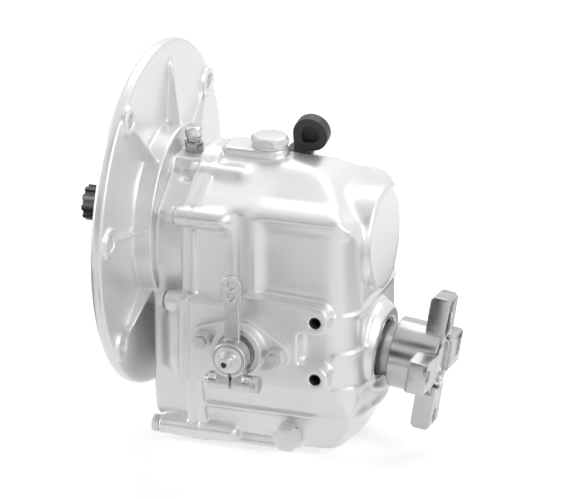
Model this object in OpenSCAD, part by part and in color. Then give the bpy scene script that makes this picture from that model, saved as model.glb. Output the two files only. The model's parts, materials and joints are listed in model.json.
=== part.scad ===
// Small marine gearbox: two-piece cast casing, down-angle output shaft, cone clutch and side shift lever.
// X runs along the input shaft towards the propeller, Z is up, and the lever is on the -Y side.
// The origin is the centre of the engine flange, on its engine-side face.

/* [Engine flange] */
// Diameter of the round engine flange
flange_d = 252; // [248:1:262]
// Thickness of the flange disc
flange_t = 8.4; // [7:0.2:10]
// Bolt circle of the flange holes
flange_pcd = 230; // [226:1:232]
// Bolt circle of the two flange holes nearest the level of the shaft
flange_pair_pcd = 225; // [221:1:225]
// Diameter of the flange holes
flange_hole_d = 11; // [9:0.5:12]
// Turn of the flange pattern about the input shaft, in degrees
flange_clocking = 7.5; // [0:0.5:12]
// Diameter of the raised pad round each flange hole
flange_boss_d = 22; // [19:1:24]
// Height of those pads above the disc
flange_boss_h = 3; // [2:0.5:5]
// Width of the radial ribs behind the flange
flange_rib_w = 5; // [4:0.5:8]
// Diameter of the neck between flange and front case
neck_d = 132; // [124:1:140]

/* [Casing] */
// Where the front and rear cases meet
split_x = 51; // [49:0.5:54]
// Front wall of the front case
case_front_x = 17; // [15:0.5:19]
// Rear wall of the rear case
case_rear_x = 171; // [168:0.5:175]
// Height of the casing top above the input shaft
case_top = 53.5; // [52:0.5:58]
// Depth of the sump below the input shaft
case_depth = 153; // [149:0.5:158]
// Half width of the casing's side walls
case_half_w = 57; // [56:0.5:60]
// Half width of the flat top
case_top_half_w = 12; // [8:0.5:20]
// Height where the sloping shoulders meet the side walls
shoulder_z = 26; // [22:0.5:30]
// Half width of the sump's flat bottom
sump_half_w = 43; // [40:0.5:46]
// Height where the side walls start to draw in towards the sump, below the input shaft
sump_start = 100; // [94:1:108]
// Wall thickness of the castings
case_wall = 6; // [4.5:0.5:7]
// How far the joint flange stands out of the walls
lip_h = 4; // [2:0.5:6]
// Thickness of the joint flange on each case
lip_t = 7; // [5:0.5:10]
// Thickness of the case gasket
case_gasket_t = 0.6; // [0.4:0.1:1]

/* [Case bolts] */
// Diameter of the case bolts
case_bolt_d = 8; // [6:1:9]
// Diameter of the bolt bosses
case_boss_d = 14; // [13:0.5:16]
// Width across flats of the case bolt heads
case_bolt_af = 12; // [10:0.5:13]
// Diameter of the two dowel pins
dowel_d = 6; // [5:0.5:6.5]

/* [Shafts] */
// Downward slope of the output shaft, in degrees
output_tilt = 7; // [6:0.25:8]
// Station of the clutch centre along the input shaft
clutch_x = 92; // [91:0.5:93]
// Drop from the input shaft to the output shaft at the clutch centre
shaft_drop = 74.5; // [74.3:0.1:75]
// Diameter of the input shaft in its bearings
input_d = 30; // [28:0.5:32]
// Outer diameter of the input spline
spline_d = 26; // [24:0.5:27]
// Number of teeth on the input spline
spline_teeth = 10; // [8:1:14]
// How far the input shaft stands out in front of the flange
input_reach = 51; // [44:1:60]
// Diameter of the output shaft under its gears
output_d = 34; // [32:0.5:35]
// Length of the bearings
bearing_w = 16; // [14:0.5:17]
// Outer diameter of the bearings
bearing_od = 56; // [54:0.5:58]

/* [Gears] */
// Gear module
gear_module = 2.5; // [2.45:0.01:2.5]
// Teeth on the forward pinion
forward_pinion_teeth = 19; // [18:1:19]
// Teeth on the forward gear
forward_gear_teeth = 37; // [35:1:37]
// Teeth on the reverse pinion
reverse_pinion_teeth = 16; // [15:1:16]
// Teeth on the idler
idler_teeth = 14; // [13:1:14]
// Teeth on the reverse gear
reverse_gear_teeth = 34; // [33:1:35]
// Face width of the gears on the output shaft
gear_face = 12; // [10:0.5:13]
// Backlash on the pitch circle
backlash = 0.7; // [0.5:0.05:0.9]

/* [Clutch] */
// Distance from the clutch centre to the middle of each gear
gear_offset = 30; // [29:0.5:31]
// Largest diameter of the double cone
cone_d = 70; // [66:1:72]
// Half angle of the cones, in degrees
cone_angle = 12; // [10:0.5:14]
// Half length of the clutch sleeve
sleeve_half = 18; // [17:0.5:18.5]
// Width of the shift groove in the sleeve
groove_w = 9; // [8:0.5:10]
// Depth of the shift groove
groove_depth = 9; // [7:0.5:10]
// Axial gap between cone and cup in neutral
cone_gap = 4; // [3.5:0.25:4.5]

/* [Shift] */
// Height of the shift shaft above the output shaft
shift_rise = 8.5; // [6:0.5:10]
// Diameter of the shift shaft
shift_d = 20; // [18:0.5:21]
// Throw of the shift shaft's eccentric pin
shift_throw = 4; // [3:0.25:4.5]
// Diameter of the eccentric pin
shift_pin_d = 8; // [6:0.5:9]
// Distance from the middle plane to the face of the side pad
pad_y = 70; // [68:0.5:74]
// Distance from the middle plane to the front of the lever hub
lever_front_y = 101; // [99:0.5:106]
// Outer diameter of the lever hub
lever_hub_d = 25; // [24:0.5:28]
// Length of the lever hub
lever_hub_l = 12; // [10:0.5:13]
// Distance from the shift shaft to the outer cable hole
lever_hole_r = 53; // [48:0.5:60]
// Spacing of the two cable holes
lever_hole_pitch = 8.4; // [8:0.2:12]
// Diameter of the cable holes
lever_hole_d = 5.8; // [4:0.2:6.4]
// Width of the lever bar
lever_bar_w = 11; // [9:0.5:14]
// Thickness of the lever bar
lever_bar_t = 5; // [4:0.5:6]
// Distance between the selector cover's studs
stud_pitch = 55; // [52:0.5:58]
// Diameter of the cover studs
stud_d = 8; // [6:0.5:9]

/* [Bracket holes] */
// Station of the two tapped bracket holes
bracket_x = 146.5; // [143:0.5:149]
// Depth of the upper bracket hole below the input shaft
bracket_drop = 43.5; // [42:0.5:46]
// Spacing of the bracket holes
bracket_pitch = 43; // [40:0.5:45]
// Bore of the bracket holes
bracket_hole_d = 8.5; // [6.8:0.1:10.5]

/* [Output coupling] */
// Distance along the output shaft from the clutch centre to the coupling face
coupling_face_s = 129.5; // [126:0.5:134]
// Bolt circle of the coupling
coupling_pcd = 82.5; // [80:0.5:86]
// Diameter of the coupling holes
coupling_hole_d = 10.5; // [8.5:0.5:11]
// Thickness of the coupling arms
coupling_arm_t = 14; // [12:0.5:16]
// Width of the coupling arms
coupling_arm_w = 23; // [20:0.5:26]
// Outer radius of the coupling arms
coupling_reach = 49.5; // [48.5:0.5:56]
// Diameter of the coupling hub
coupling_hub_d = 52; // [50:0.5:54]
// Length of the coupling hub behind the arms
coupling_hub_l = 21; // [18:0.5:24]
// Turn of the coupling about the output shaft, in degrees
coupling_turn = -5.7; // [-45:0.5:45]

/* [Fittings] */
// Width across flats of the filler plug
filler_af = 25; // [23:0.5:25.5]
// Station of the filler plug
filler_x = 89.5; // [87:0.5:91]
// Width across flats of the drain plug
drain_af = 17; // [14:0.5:19]
// Station of the breather
breather_x = 32; // [30:0.5:34]
// Station of the dipstick
dipstick_x = 106.5; // [104:0.5:108]
// Distance of the dipstick from the middle plane, where it enters the casing
dipstick_y = 20; // [18:0.5:21]

/* [Hidden] */

$fn = 64;
eps = 0.01;
// Radial clearance of turning and sliding fits
running = 0.05;
// Clearance round a bolt in its hole
bolt_play = 0.5;
// Gap left between neighbours that must not touch
gap = 0.4;
// Run of a cut or a join past the face it starts from
over = 1;

white_paint = [0.93, 0.93, 0.92];
steel = [0.62, 0.63, 0.64];
dark_steel = [0.30, 0.31, 0.32];
zinc = [0.72, 0.73, 0.74];
bronze = [0.68, 0.52, 0.30];
rubber = [0.10, 0.10, 0.10];
paper = [0.45, 0.42, 0.36];
black_plastic = [0.13, 0.13, 0.14];
chrome = [0.80, 0.81, 0.82];

// Outline helpers

function unit(v) = v / norm(v);
function turn2(p, a) = [p[0] * cos(a) - p[1] * sin(a), p[0] * sin(a) + p[1] * cos(a)];

// Points of one corner b between a and c, rounded by the radius in b's third value
function corner_points(a, b, c, steps) =
    let (
        here = [b[0], b[1]],
        u = unit([a[0], a[1]] - here),
        v = unit([c[0], c[1]] - here),
        half = acos(u * v) / 2,
        centre = here + unit(u + v) * b[2] / sin(half),
        from = here + u * b[2] / tan(half) - centre,
        to = here + v * b[2] / tan(half) - centre,
        start = atan2(from[1], from[0]),
        raw = atan2(to[1], to[0]) - start,
        sweep = raw > 180 ? raw - 360 : raw < -180 ? raw + 360 : raw
    )
    b[2] == 0
        ? [here]
        : [for (k = [0:steps])
            let (a = start + sweep * k / steps)
            centre + b[2] * [cos(a), sin(a)]];

// Outline whose points are [x, y, corner radius]
function rounded(points, steps = 6) =
    let (n = len(points))
    [for (i = [0:n - 1]) each corner_points(points[(i + n - 1) % n], points[i], points[(i + 1) % n], steps)];

// A right half outline closed by its mirror image about the second axis
function mirrored(half_points) =
    let (n = len(half_points))
    concat(half_points, [for (i = [n - 1:-1:0]) [-half_points[i][0], half_points[i][1], half_points[i][2]]]);

// Placing helpers

// Prism along X between two stations, from an outline in Y and Z
module prism_x(from, to) {
    translate([from, 0, 0]) rotate([90, 0, 90]) linear_extrude(to - from) children();
}
// Prism along Y between two distances on the lever side, from an outline in X and Z
module prism_near(from, to) {
    translate([0, -from, 0]) rotate([90, 0, 0]) linear_extrude(to - from) children();
}
module rod_x(d, from, to) {
    translate([from, 0, 0]) rotate([0, 90, 0]) cylinder(d = d, h = to - from);
}
module tube_x(outer_d, inner_d, from, to) {
    difference() {
        rod_x(outer_d, from, to);
        rod_x(inner_d, from - over, to + over);
    }
}
module rod_near(d, from, to) {
    translate([0, -from, 0]) rotate([90, 0, 0]) cylinder(d = d, h = to - from);
}
module hex_x(af, from, to) {
    translate([from, 0, 0]) rotate([0, 90, 0]) cylinder(d = af / cos(30), h = to - from, $fn = 6);
}
// Turned body about X, from an outline of [radius, station]
module turned_x(points) {
    rotate([0, 90, 0]) rotate_extrude() polygon(points);
}
// Frame of the sloping output shaft: X along it from the clutch centre
module on_output() {
    translate([clutch_x, 0, -shaft_drop]) rotate([0, output_tilt, 0]) children();
}
// Frame of the shift shaft: its axis is Y, and its Z is square to the output shaft
module on_shift() {
    on_output() translate([0, 0, shift_rise]) children();
}
module both_sides() {
    children();
    mirror([0, 1, 0]) children();
}

// Gears

pressure_angle = 20;
addendum = 0.9 * gear_module;
dedendum = 1.2 * gear_module;
function involute_deg(a) = tan(a) * 180 / PI - a;
function pitch_r(teeth) = teeth * gear_module / 2;
// Half angle of a tooth at radius r
function half_tooth(teeth, r) =
    let (base_r = pitch_r(teeth) * cos(pressure_angle))
    90 / teeth - backlash / 4 / pitch_r(teeth) * 180 / PI
    + involute_deg(pressure_angle) - (r > base_r ? involute_deg(acos(base_r / r)) : 0);
// Outline of a spur gear with the middle of one tooth at the given angle
function gear_outline(teeth, phase) =
    let (
        root = pitch_r(teeth) - dedendum,
        low = max(root + 0.1, pitch_r(teeth) * cos(pressure_angle)),
        tip = pitch_r(teeth) + addendum,
        radii = [root, low, low + (tip - low) / 3, low + (tip - low) * 2 / 3, tip],
        rising = [for (r = radii) [r, -half_tooth(teeth, r)]],
        falling = [for (i = [len(radii) - 1:-1:0]) [radii[i], half_tooth(teeth, radii[i])]]
    )
    [for (k = [0:teeth - 1], p = concat(rising, falling))
        p[0] * [cos(phase + k * 360 / teeth + p[1]), sin(phase + k * 360 / teeth + p[1])]];
module spur_gear(teeth, phase, from, to) {
    prism_x(from, to) polygon(gear_outline(teeth, phase));
}

// Gear layout: the idler touches the reverse pinion and the reverse gear

idler_tilt = output_tilt / 2;
idler_aft = 4;
idler_x = clutch_x + gear_offset * cos(output_tilt) + idler_aft;
input_idler_gap = 0.35;
idler_output_gap = 0.6;
input_idler_c = pitch_r(reverse_pinion_teeth) + pitch_r(idler_teeth) + input_idler_gap;
idler_output_c = pitch_r(idler_teeth) + pitch_r(reverse_gear_teeth) + idler_output_gap;
drop_at_idler = shaft_drop + (idler_x - clutch_x) * tan(output_tilt);
idler_z = -(input_idler_c * input_idler_c - idler_output_c * idler_output_c + drop_at_idler * drop_at_idler)
    / (2 * drop_at_idler);
idler_y = sqrt(input_idler_c * input_idler_c - idler_z * idler_z);
idler_to_input = atan2(-idler_z, -idler_y);
idler_to_output = atan2(-drop_at_idler - idler_z, -idler_y);
// Offset of the idler's nearest tooth from the line to the reverse gear
idler_pitch_angle = 360 / idler_teeth;
idler_wrap = idler_to_output - idler_to_input;
idler_slip = idler_wrap - idler_pitch_angle * round(idler_wrap / idler_pitch_angle);
reverse_gear_phase = idler_to_output + 180 + (idler_slip * idler_teeth + 180) / reverse_gear_teeth;
reverse_pinion_phase = idler_to_input + 180 + 180 / reverse_pinion_teeth;

// The pinions are wider than their gears, to cover the slope
forward_overlap = 1.5;
reverse_overlap = 1;
forward_mesh_x = clutch_x - gear_offset * cos(output_tilt) + pitch_r(forward_gear_teeth) * sin(output_tilt);
forward_pinion_from = forward_mesh_x - gear_face / 2 - forward_overlap;
forward_pinion_to = forward_mesh_x + gear_face / 2 + forward_overlap;
idler_face = gear_face - reverse_overlap;
reverse_pinion_from = idler_x - gear_face / 2 - reverse_overlap;
reverse_pinion_to = idler_x + gear_face / 2 + reverse_overlap;

// Shaft stations

input_front_bearing_in = 6;
input_rear_bearing_in = 5;
input_front_bearing_x = case_front_x + input_front_bearing_in;
input_rear_bearing_x = case_rear_x - bearing_w - input_rear_bearing_in;
gear_to_bearing = 10;
output_rear_bearing_s = gear_offset + gear_face / 2 + gear_to_bearing;
output_front_bearing_s = -output_rear_bearing_s - bearing_w;
gear_hub_out = 4;
hub_from_sleeve = 0.5;
gear_hub_from = sleeve_half + cone_gap - hub_from_sleeve;
gear_hub_to = gear_offset + gear_face / 2 + gear_hub_out;
washer_t = 2.5;
cup_wall = 5;
journal_l = 20;
output_seal_s = coupling_face_s - coupling_arm_t - coupling_hub_l - journal_l;
seal_w = 9;
seal_in = 2;
journal_d = 39;
output_seal_od = 46;
output_boss_end_s = output_seal_s + seal_w + seal_in;
input_boss_d = 76;
input_boss_h = 6;
input_seal_w = 8;
pilot_depth = 3;
pilot_d = 100;
input_seal_x = pilot_depth;
input_seal_od = 44;

// Casing outlines

far = 400;
rim_round = 8;
side_round = 14;
crown_round = 30;
function case_section(inset) = rounded(mirrored([
    [sump_half_w - inset * 0.9, -case_depth + inset, rim_round],
    [case_half_w - inset, -sump_start + inset * 0.3, side_round],
    [case_half_w - inset, shoulder_z - inset * 0.4, rim_round],
    [case_top_half_w - inset * 0.4, case_top - inset, crown_round]
]), 8);
// The front case is a smaller shell, with a bulge round the input bearing
front_step = 6;
front_half_w = case_half_w - front_step;
front_waist_z = -42;
front_bulge_z = -8;
front_bulge_half_w = case_half_w + 1.5;
front_shoulder_in = 4;
function front_section(inset) = rounded(mirrored([
    [sump_half_w - inset * 0.9, -case_depth + front_step + inset, side_round],
    [front_half_w - inset, -sump_start + inset * 0.3, side_round],
    [front_half_w - inset, front_waist_z, side_round],
    [front_bulge_half_w - inset, front_bulge_z, crown_round],
    [case_half_w - front_shoulder_in - inset, shoulder_z - rim_round - inset * 0.4, side_round],
    [case_top_half_w - inset * 0.4, case_top - front_step - inset, crown_round]
]), 8);
// Side view of the rear case, between its joint face and its rear wall
rear_slope_l = 24;
rear_slope_h = 46;
rear_crown_l = 38;
rear_crown_h = 36;
// Corner radii of that view, from the sump's edge up to the crown
rear_rounds = [12, 20, 18, 50];
function rear_side(inset) = rounded([
    [split_x, -case_depth + inset, 0],
    [case_rear_x - rear_slope_l - inset * 0.6, -case_depth + inset, rear_rounds[0]],
    [case_rear_x - inset, -case_depth + rear_slope_h, rear_rounds[1]],
    [case_rear_x - inset, case_top - rear_crown_h, rear_rounds[2]],
    [case_rear_x - rear_crown_l - inset * 0.5, case_top - inset, rear_rounds[3]],
    [split_x, case_top - inset, 0]
], 8);
rear_corner_r = 20;
function rear_plan(inset) = rounded([
    [split_x, -far / 4, 0],
    [split_x + over, -case_half_w + inset, 0],
    [case_rear_x - inset, -case_half_w + inset, rear_corner_r - inset],
    [case_rear_x - inset, case_half_w - inset, rear_corner_r - inset],
    [split_x + over, case_half_w - inset, 0],
    [split_x, far / 4, 0]
]);
front_corner_r = 16;
function front_side(inset) = rounded([
    [case_front_x + inset, -case_depth + front_step + inset, front_corner_r],
    [split_x, -case_depth + front_step + inset, 0],
    [split_x, case_top - front_step - inset, 0],
    [case_front_x + inset, case_top - front_step - inset, front_corner_r]
]);
function front_plan(inset) = rounded([
    [case_front_x + inset, -front_bulge_half_w + inset, front_corner_r],
    [split_x, -front_bulge_half_w + inset, 0],
    [split_x, front_bulge_half_w - inset, 0],
    [case_front_x + inset, front_bulge_half_w - inset, front_corner_r]
]);
// Casing form cut by its side view and its plan
module cut_to(side, plan) {
    intersection() {
        children();
        translate([0, far / 2, 0]) rotate([90, 0, 0]) linear_extrude(far) polygon(side);
        translate([0, 0, -far / 2]) linear_extrude(far) polygon(plan);
    }
}
module rear_form(inset) {
    cut_to(rear_side(inset), rear_plan(inset))
        prism_x(split_x, case_rear_x + over) polygon(case_section(inset));
}
module front_form(inset) {
    cut_to(front_side(inset), front_plan(inset))
        prism_x(case_front_x - over, split_x) polygon(front_section(inset));
}

// Half width of the casing's sloping wall at a height above the sump's flat
function sump_wall_y(up) = sump_half_w + (case_half_w - sump_half_w) * up / (case_depth - sump_start);
// Height of the sloping roof at a distance from the middle plane
roof_slope = (case_top - shoulder_z) / (case_half_w - case_top_half_w);
function roof_z(y) = case_top - roof_slope * (y - case_top_half_w);
// Case bolts: offsets in Y and Z from a corner of the casing, then the boss's reach each side of the joint
case_bolt_offsets = [[14, -1.7, 6, 31], [4, -4.5, 11, 29], [5, -0.5, 19, 22], [2.65, 7, 29, 31]];
case_bolt_corners = [
    [case_top_half_w, roof_z(case_top_half_w + case_bolt_offsets[0][0])],
    [case_half_w, shoulder_z],
    [case_half_w, front_waist_z],
    [sump_wall_y(case_bolt_offsets[3][1]), -case_depth]
];
// Place of each bolt in Y and Z, then the stations where its boss starts and ends
case_bolt_places = [for (i = [0:3])
    let (corner = case_bolt_corners[i], by = case_bolt_offsets[i])
    [corner[0] + by[0], corner[1] + by[1], split_x - by[2], split_x + by[3]]];
bolt_thread_l = 16;
bolt_run_out = 2;
bolt_head_h = 5.3;
module at_case_bolts() {
    both_sides() for (place = case_bolt_places) translate([0, place[0], place[1]]) {
        $boss_from = place[2];
        $boss_to = place[3];
        children();
    }
}
// The dowels sit in the thick of the joint flange
dowel_y = case_half_w + (lip_h - case_wall) / 2;
dowel_z = -8;
dowel_in = 1.5;
dowel_half_l = lip_t - dowel_in;
module at_dowels() {
    both_sides() translate([0, dowel_y, dowel_z]) children();
}

neck_in = 6;
module front_case() {
    spot_play = 1.5;
    spot_l = 14;
    color(white_paint) difference() {
        union() {
            flange_disc();
            rod_x(neck_d, flange_t - over, case_front_x + neck_in);
            front_form(0);
            prism_x(split_x - lip_t, split_x) polygon(case_section(-lip_h));
            at_case_bolts() rod_x(case_boss_d, $boss_from, split_x);
            front_pad();
            breather_boss();
        }
        front_hollow();
        at_case_bolts() {
            rod_x(case_bolt_d + bolt_play, $boss_from - over, split_x + over);
            rod_x(case_boss_d + spot_play, $boss_from - spot_l, $boss_from);
        }
        at_dowels() rod_x(dowel_d, split_x - dowel_half_l, split_x + over);
        translate([breather_x, 0, 0]) cylinder(d = breather_thread_d, h = far);
    }
}

// Turn and bolt circle of each flange hole
flange_holes = [for (k = [-3, -2, -1, 1, 2, 3])
    [k * 45 - flange_clocking, abs(k) == 2 ? flange_pair_pcd / 2 : flange_pcd / 2]];
flange_edge = 1.5;
module at_flange_holes() {
    for (hole = flange_holes) rotate([hole[0], 0, 0]) translate([0, 0, hole[1]]) children();
}
module flange_disc() {
    rim_r = flange_d / 2;
    difference() {
        union() {
            turned_x([
                [0, 0],
                [rim_r - flange_edge, 0],
                [rim_r, flange_edge],
                [rim_r, flange_t - flange_edge],
                [rim_r - flange_edge, flange_t],
                [0, flange_t]
            ]);
            at_flange_holes() rod_x(flange_boss_d, flange_t - over, flange_t + flange_boss_h);
            for (hole = flange_holes) rotate([hole[0], 0, 0]) flange_rib(hole[1]);
            for (turn = [0, 180]) rotate([turn - flange_clocking, 0, 0]) flange_rib(flange_pcd / 2);
        }
        at_flange_holes() rod_x(flange_hole_d, -over, flange_t + flange_boss_h + case_front_x);
    }
}
// Radial rib from the neck out to a given radius, highest at the neck
rib_root = 8;
rib_rise = 4;
rib_tip = 6;
module flange_rib(outer_r) {
    neck_r = neck_d / 2;
    rotate([90, 0, 0]) translate([0, 0, -flange_rib_w / 2]) linear_extrude(flange_rib_w) polygon([
        [flange_t - over, neck_r - rib_root],
        [case_front_x + rib_rise, neck_r - rib_root],
        [case_front_x + rib_rise / 2, neck_r],
        [flange_t + flange_boss_h, outer_r - rib_tip],
        [flange_t - over, outer_r]
    ]);
}
breather_boss_drop = 4;
breather_boss_h = 26;
breather_boss_top = case_top - breather_boss_drop;
breather_thread_d = 10;
breather_boss_half_w = 17;
breather_boss_foot_half_w = 32;
// Block under the breather, with sloping sides
module breather_boss() {
    foot_z = breather_boss_top - breather_boss_h;
    prism_x(case_front_x + over, split_x) polygon([
        [-breather_boss_foot_half_w, foot_z],
        [breather_boss_foot_half_w, foot_z],
        [breather_boss_half_w, breather_boss_top],
        [-breather_boss_half_w, breather_boss_top]
    ]);
}
// The front case runs out to meet the side pad, on a wedge
front_pad_l = 6;
front_pad_fall = 36;
module front_pad() {
    intersection() {
        translate([0, 0, -pad_bottom]) linear_extrude(pad_bottom - pad_left_top) polygon([
            [split_x, -pad_y],
            [split_x - front_pad_l, -pad_y],
            [case_front_x + front_corner_r / 2, -front_half_w + over],
            [split_x, -front_half_w + over]
        ]);
        prism_near(0, far) polygon([
            [case_front_x, -pad_bottom],
            [split_x, -pad_bottom],
            [split_x, -pad_left_top],
            [split_x - front_pad_l, -pad_left_top],
            [case_front_x, -pad_left_top - front_pad_fall]
        ]);
    }
}
bearing_boss_wall = 7;
bearing_boss_d = bearing_od + 2 * bearing_boss_wall;
shaft_play = 3;
module front_hollow() {
    difference() {
        front_form(case_wall);
        rod_x(bearing_boss_d, 0, input_front_bearing_x + bearing_w);
        on_output() rod_x(bearing_boss_d, output_front_bearing_s - far, output_front_bearing_s + bearing_w);
    }
    prism_x(split_x - over, split_x + over) polygon(front_section(case_wall));
    rod_x(bearing_od, input_front_bearing_x, split_x);
    rod_x(input_seal_od, input_seal_x, input_seal_x + input_seal_w + eps);
    rod_x(input_d + 2 * shaft_play, -over, input_front_bearing_x + over);
    rod_x(pilot_d, -over, pilot_depth);
    on_output() rod_x(bearing_od, output_front_bearing_s, output_front_bearing_s + 2 * bearing_w);
}

module rear_case() {
    color(white_paint) difference() {
        union() {
            rear_form(0);
            prism_x(split_x + case_gasket_t, split_x + lip_t) polygon(case_section(-lip_h));
            at_case_bolts() tapered_boss(split_x + case_gasket_t, $boss_to);
            joint_bead();
            side_pad();
            barrel_sides();
            shoulder_ridge();
            sump_rib();
            corner_ledges();
            sump_foot();
            rod_x(input_boss_d, case_rear_x - input_boss_d / 4, case_rear_x + input_boss_h);
            output_bulge();
            filler_boss();
            dipstick_boss();
            drain_boss();
        }
        rear_hollow();
        translate([split_x + case_gasket_t - far, -far / 2, -far / 2]) cube(far);
        at_case_bolts() rod_x(case_bolt_d, split_x - over, split_x + bolt_thread_l + bolt_run_out);
        at_dowels() rod_x(dowel_d, split_x - over, split_x + dowel_half_l);
        bracket_holes();
        on_shift() rod_near(shift_d + 2 * gap, shoe_inner_y, pad_y + over);
        at_studs() rod_near(stud_d, pad_y - stud_depth - bolt_run_out, pad_y + over);
        translate([filler_x, 0, 0]) cylinder(d = filler_thread_d, h = far);
        at_dipstick() dipstick_hole();
        at_drain() rod_near(drain_thread_d, -far / 20, far / 20);
        at_drain() rod_near(drain_af + 2 * drain_spot, 0, far / 20);
    }
}
// Boss along a case bolt, drawn in at its end
boss_end = 5;
module tapered_boss(from, to) {
    r = case_boss_d / 2;
    turned_x([
        [0, from],
        [r, from],
        [r, to - boss_end],
        [r * 0.8, to - boss_end / 3],
        [r * 0.4, to],
        [0, to]
    ]);
}
pad_top = 29.5;
pad_left_top = 37.5;
pad_bottom = 100;
pad_rise = 4;
pad_fall = 3;
pad_round = 9;
pad_step_l = 16;
finger_r = 9.5;
finger_end_x = bracket_x + finger_r;
finger_round = 9;
notch_l = 13;
notch_round = 3;
// Machined seat round each bracket hole
bracket_seat_d = 17;
bracket_seat_h = 0.5;
module side_pad() {
    upper = -bracket_drop;
    lower = -bracket_drop - bracket_pitch;
    prism_near(case_half_w - side_round, pad_y) polygon(rounded([
        [split_x, -pad_bottom, 0],
        [finger_end_x, -pad_bottom + pad_rise, finger_round],
        [finger_end_x, lower + finger_r, finger_round],
        [bracket_x - notch_l, lower + finger_r, notch_round],
        [bracket_x - notch_l, upper - finger_r, notch_round],
        [finger_end_x, upper - finger_r, finger_round],
        [finger_end_x, -pad_top - pad_fall, finger_round],
        [clutch_x, -pad_top, pad_round],
        [clutch_x - pad_step_l, -pad_left_top, pad_round],
        [split_x, -pad_left_top, 0]
    ]));
    at_bracket_holes() rod_near(bracket_seat_d, pad_y - over, pad_y + bracket_seat_h);
}
bracket_depth = 16;
module at_bracket_holes() {
    for (z = [-bracket_drop, -bracket_drop - bracket_pitch]) translate([bracket_x, 0, z]) children();
}
module bracket_holes() {
    at_bracket_holes() rod_near(bracket_hole_d, pad_y - bracket_depth, pad_y + over);
}
// Rounded edge of the rear case's flange, along the joint
bead_l = 4.4;
bead_h = 2.2;
module joint_bead() {
    intersection() {
        prism_x(split_x + case_gasket_t, split_x + bead_l) polygon(case_section(-lip_h - bead_h));
        translate([0, -far / 2, -pad_left_top]) cube([far, far, pad_left_top + shoulder_z - case_boss_d]);
    }
}
// The walls stand out next to the joint, dip into a valley and end in a rounded crest
barrel_l = 53;
valley_l = 36;
valley_half = 5;
crest_l = 46;
crest_h = 2.5;
barrel_h = 4;
valley_depth = 5.5;
// Corner radii of the panel's end, the valley, the crest and the crest's back
barrel_rounds = [3, 4, 6, 3];
barrel_end_x = split_x + barrel_l;
crest_x = split_x + crest_l;
function barrel_section() = rounded(mirrored([
    [case_half_w + barrel_h + crest_h, -pad_bottom, 0],
    [case_half_w + barrel_h + crest_h, shoulder_z, rim_round],
    [case_top_half_w, case_top, crown_round]
]), 8);
function barrel_plan() =
    let (
        out = case_half_w + barrel_h,
        near = [
            [split_x, -out, 0],
            [split_x + valley_l - valley_half, -out, barrel_rounds[0]],
            [split_x + valley_l, -out + valley_depth, barrel_rounds[1]],
            [crest_x, -out - crest_h, barrel_rounds[2]],
            [barrel_end_x, -case_half_w, barrel_rounds[3]]
        ],
        n = len(near)
    )
    rounded(concat(near, [for (i = [n - 1:-1:0]) [near[i][0], -near[i][1], near[i][2]]]));
module barrel_sides() {
    intersection() {
        prism_x(split_x, barrel_end_x + over) polygon(barrel_section());
        translate([0, 0, -pad_bottom]) linear_extrude(far) polygon(barrel_plan());
    }
}
// Low ledges round the rear corners, at the heights of the pad's fingers
ledge_drops = [43.5, 72.5, 100];
ledge_h = 2.6;
ledge_out = 1.8;
module corner_ledges() {
    cut_to(rear_side(-ledge_out), rear_plan(-ledge_out)) for (drop = ledge_drops)
        translate([finger_end_x, -far / 2, -drop - ledge_h / 2]) cube([far, far, ledge_h]);
}
// Ridge along the edge of each shoulder, behind the crest
ridge_in = 11;
ridge_drop = 11;
ridge_h = 4;
ridge_edge = 1.5;
module shoulder_ridge() {
    slope = (case_top - shoulder_z - barrel_h / 2) / (case_half_w + barrel_h - case_top_half_w);
    out = case_half_w + barrel_h - over;
    inner = case_half_w - ridge_in;
    function line_z(y) = case_top - slope * (y - case_top_half_w);
    cut_to(rear_side(-over), rear_plan(-barrel_h)) both_sides()
        prism_x(crest_x, case_rear_x + barrel_h) polygon([
            [inner, line_z(inner) - ridge_h],
            [inner + over, line_z(inner + over)],
            [out - 2 * ridge_edge, line_z(out - 2 * ridge_edge)],
            [out, line_z(out) - ridge_edge],
            [out, line_z(out) - ridge_h],
            [case_half_w - over, line_z(out) - ridge_drop],
            [case_half_w - ridge_h, line_z(out) - ridge_drop]
        ]);
}
// Ledge round the sump
sump_rib_up = 29.5;
sump_rib_z = case_depth - sump_rib_up;
sump_rib_h = 3.5;
sump_rib_out = 2.5;
module sump_rib() {
    cut_to(rear_side(-sump_rib_out), rear_plan(-sump_rib_out)) intersection() {
        prism_x(split_x, case_rear_x + sump_rib_out) polygon(case_section(-sump_rib_out));
        translate([0, -far / 2, -sump_rib_z - sump_rib_h / 2]) cube([far, far, sump_rib_h]);
    }
}
// Sloping foot along the bottom of the sump, up to the drain plug
foot_out = 6;
foot_h = 16;
foot_in = 4;
foot_edge = 3;
module sump_foot() {
    both_sides() prism_x(split_x, drain_x) polygon([
        [sump_half_w - foot_in, -case_depth + foot_h],
        [sump_half_w + foot_out, -case_depth + foot_edge],
        [sump_half_w + foot_out, -case_depth],
        [sump_half_w - rim_round, -case_depth]
    ]);
}
// Round housing of the output bearing and seal: radii of the bearing's part, its shoulder and the seal's end
bulge_out = 7;
bulge_rs = [34, 30];
bulge_steps = [10, 2, 8, 5];
module output_bulge() {
    seat = output_rear_bearing_s + bearing_w;
    wide = bearing_boss_d / 2 + bulge_out;
    on_output() turned_x([
        [0, output_rear_bearing_s - bulge_steps[0]],
        [wide, output_rear_bearing_s - bulge_steps[0]],
        [wide, seat + bulge_steps[1]],
        [wide - bulge_steps[3], seat + bulge_steps[2]],
        [bulge_rs[0], output_boss_end_s - bulge_steps[3]],
        [bulge_rs[1], output_boss_end_s],
        [0, output_boss_end_s]
    ]);
}
filler_thread_d = 20;
filler_boss_h = 5.8;
filler_boss_top = case_top + filler_boss_h;
filler_boss_half_w = 13.3;
filler_boss_tail = 32;
filler_boss_root = 12;
filler_tail_round = 5;
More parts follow.
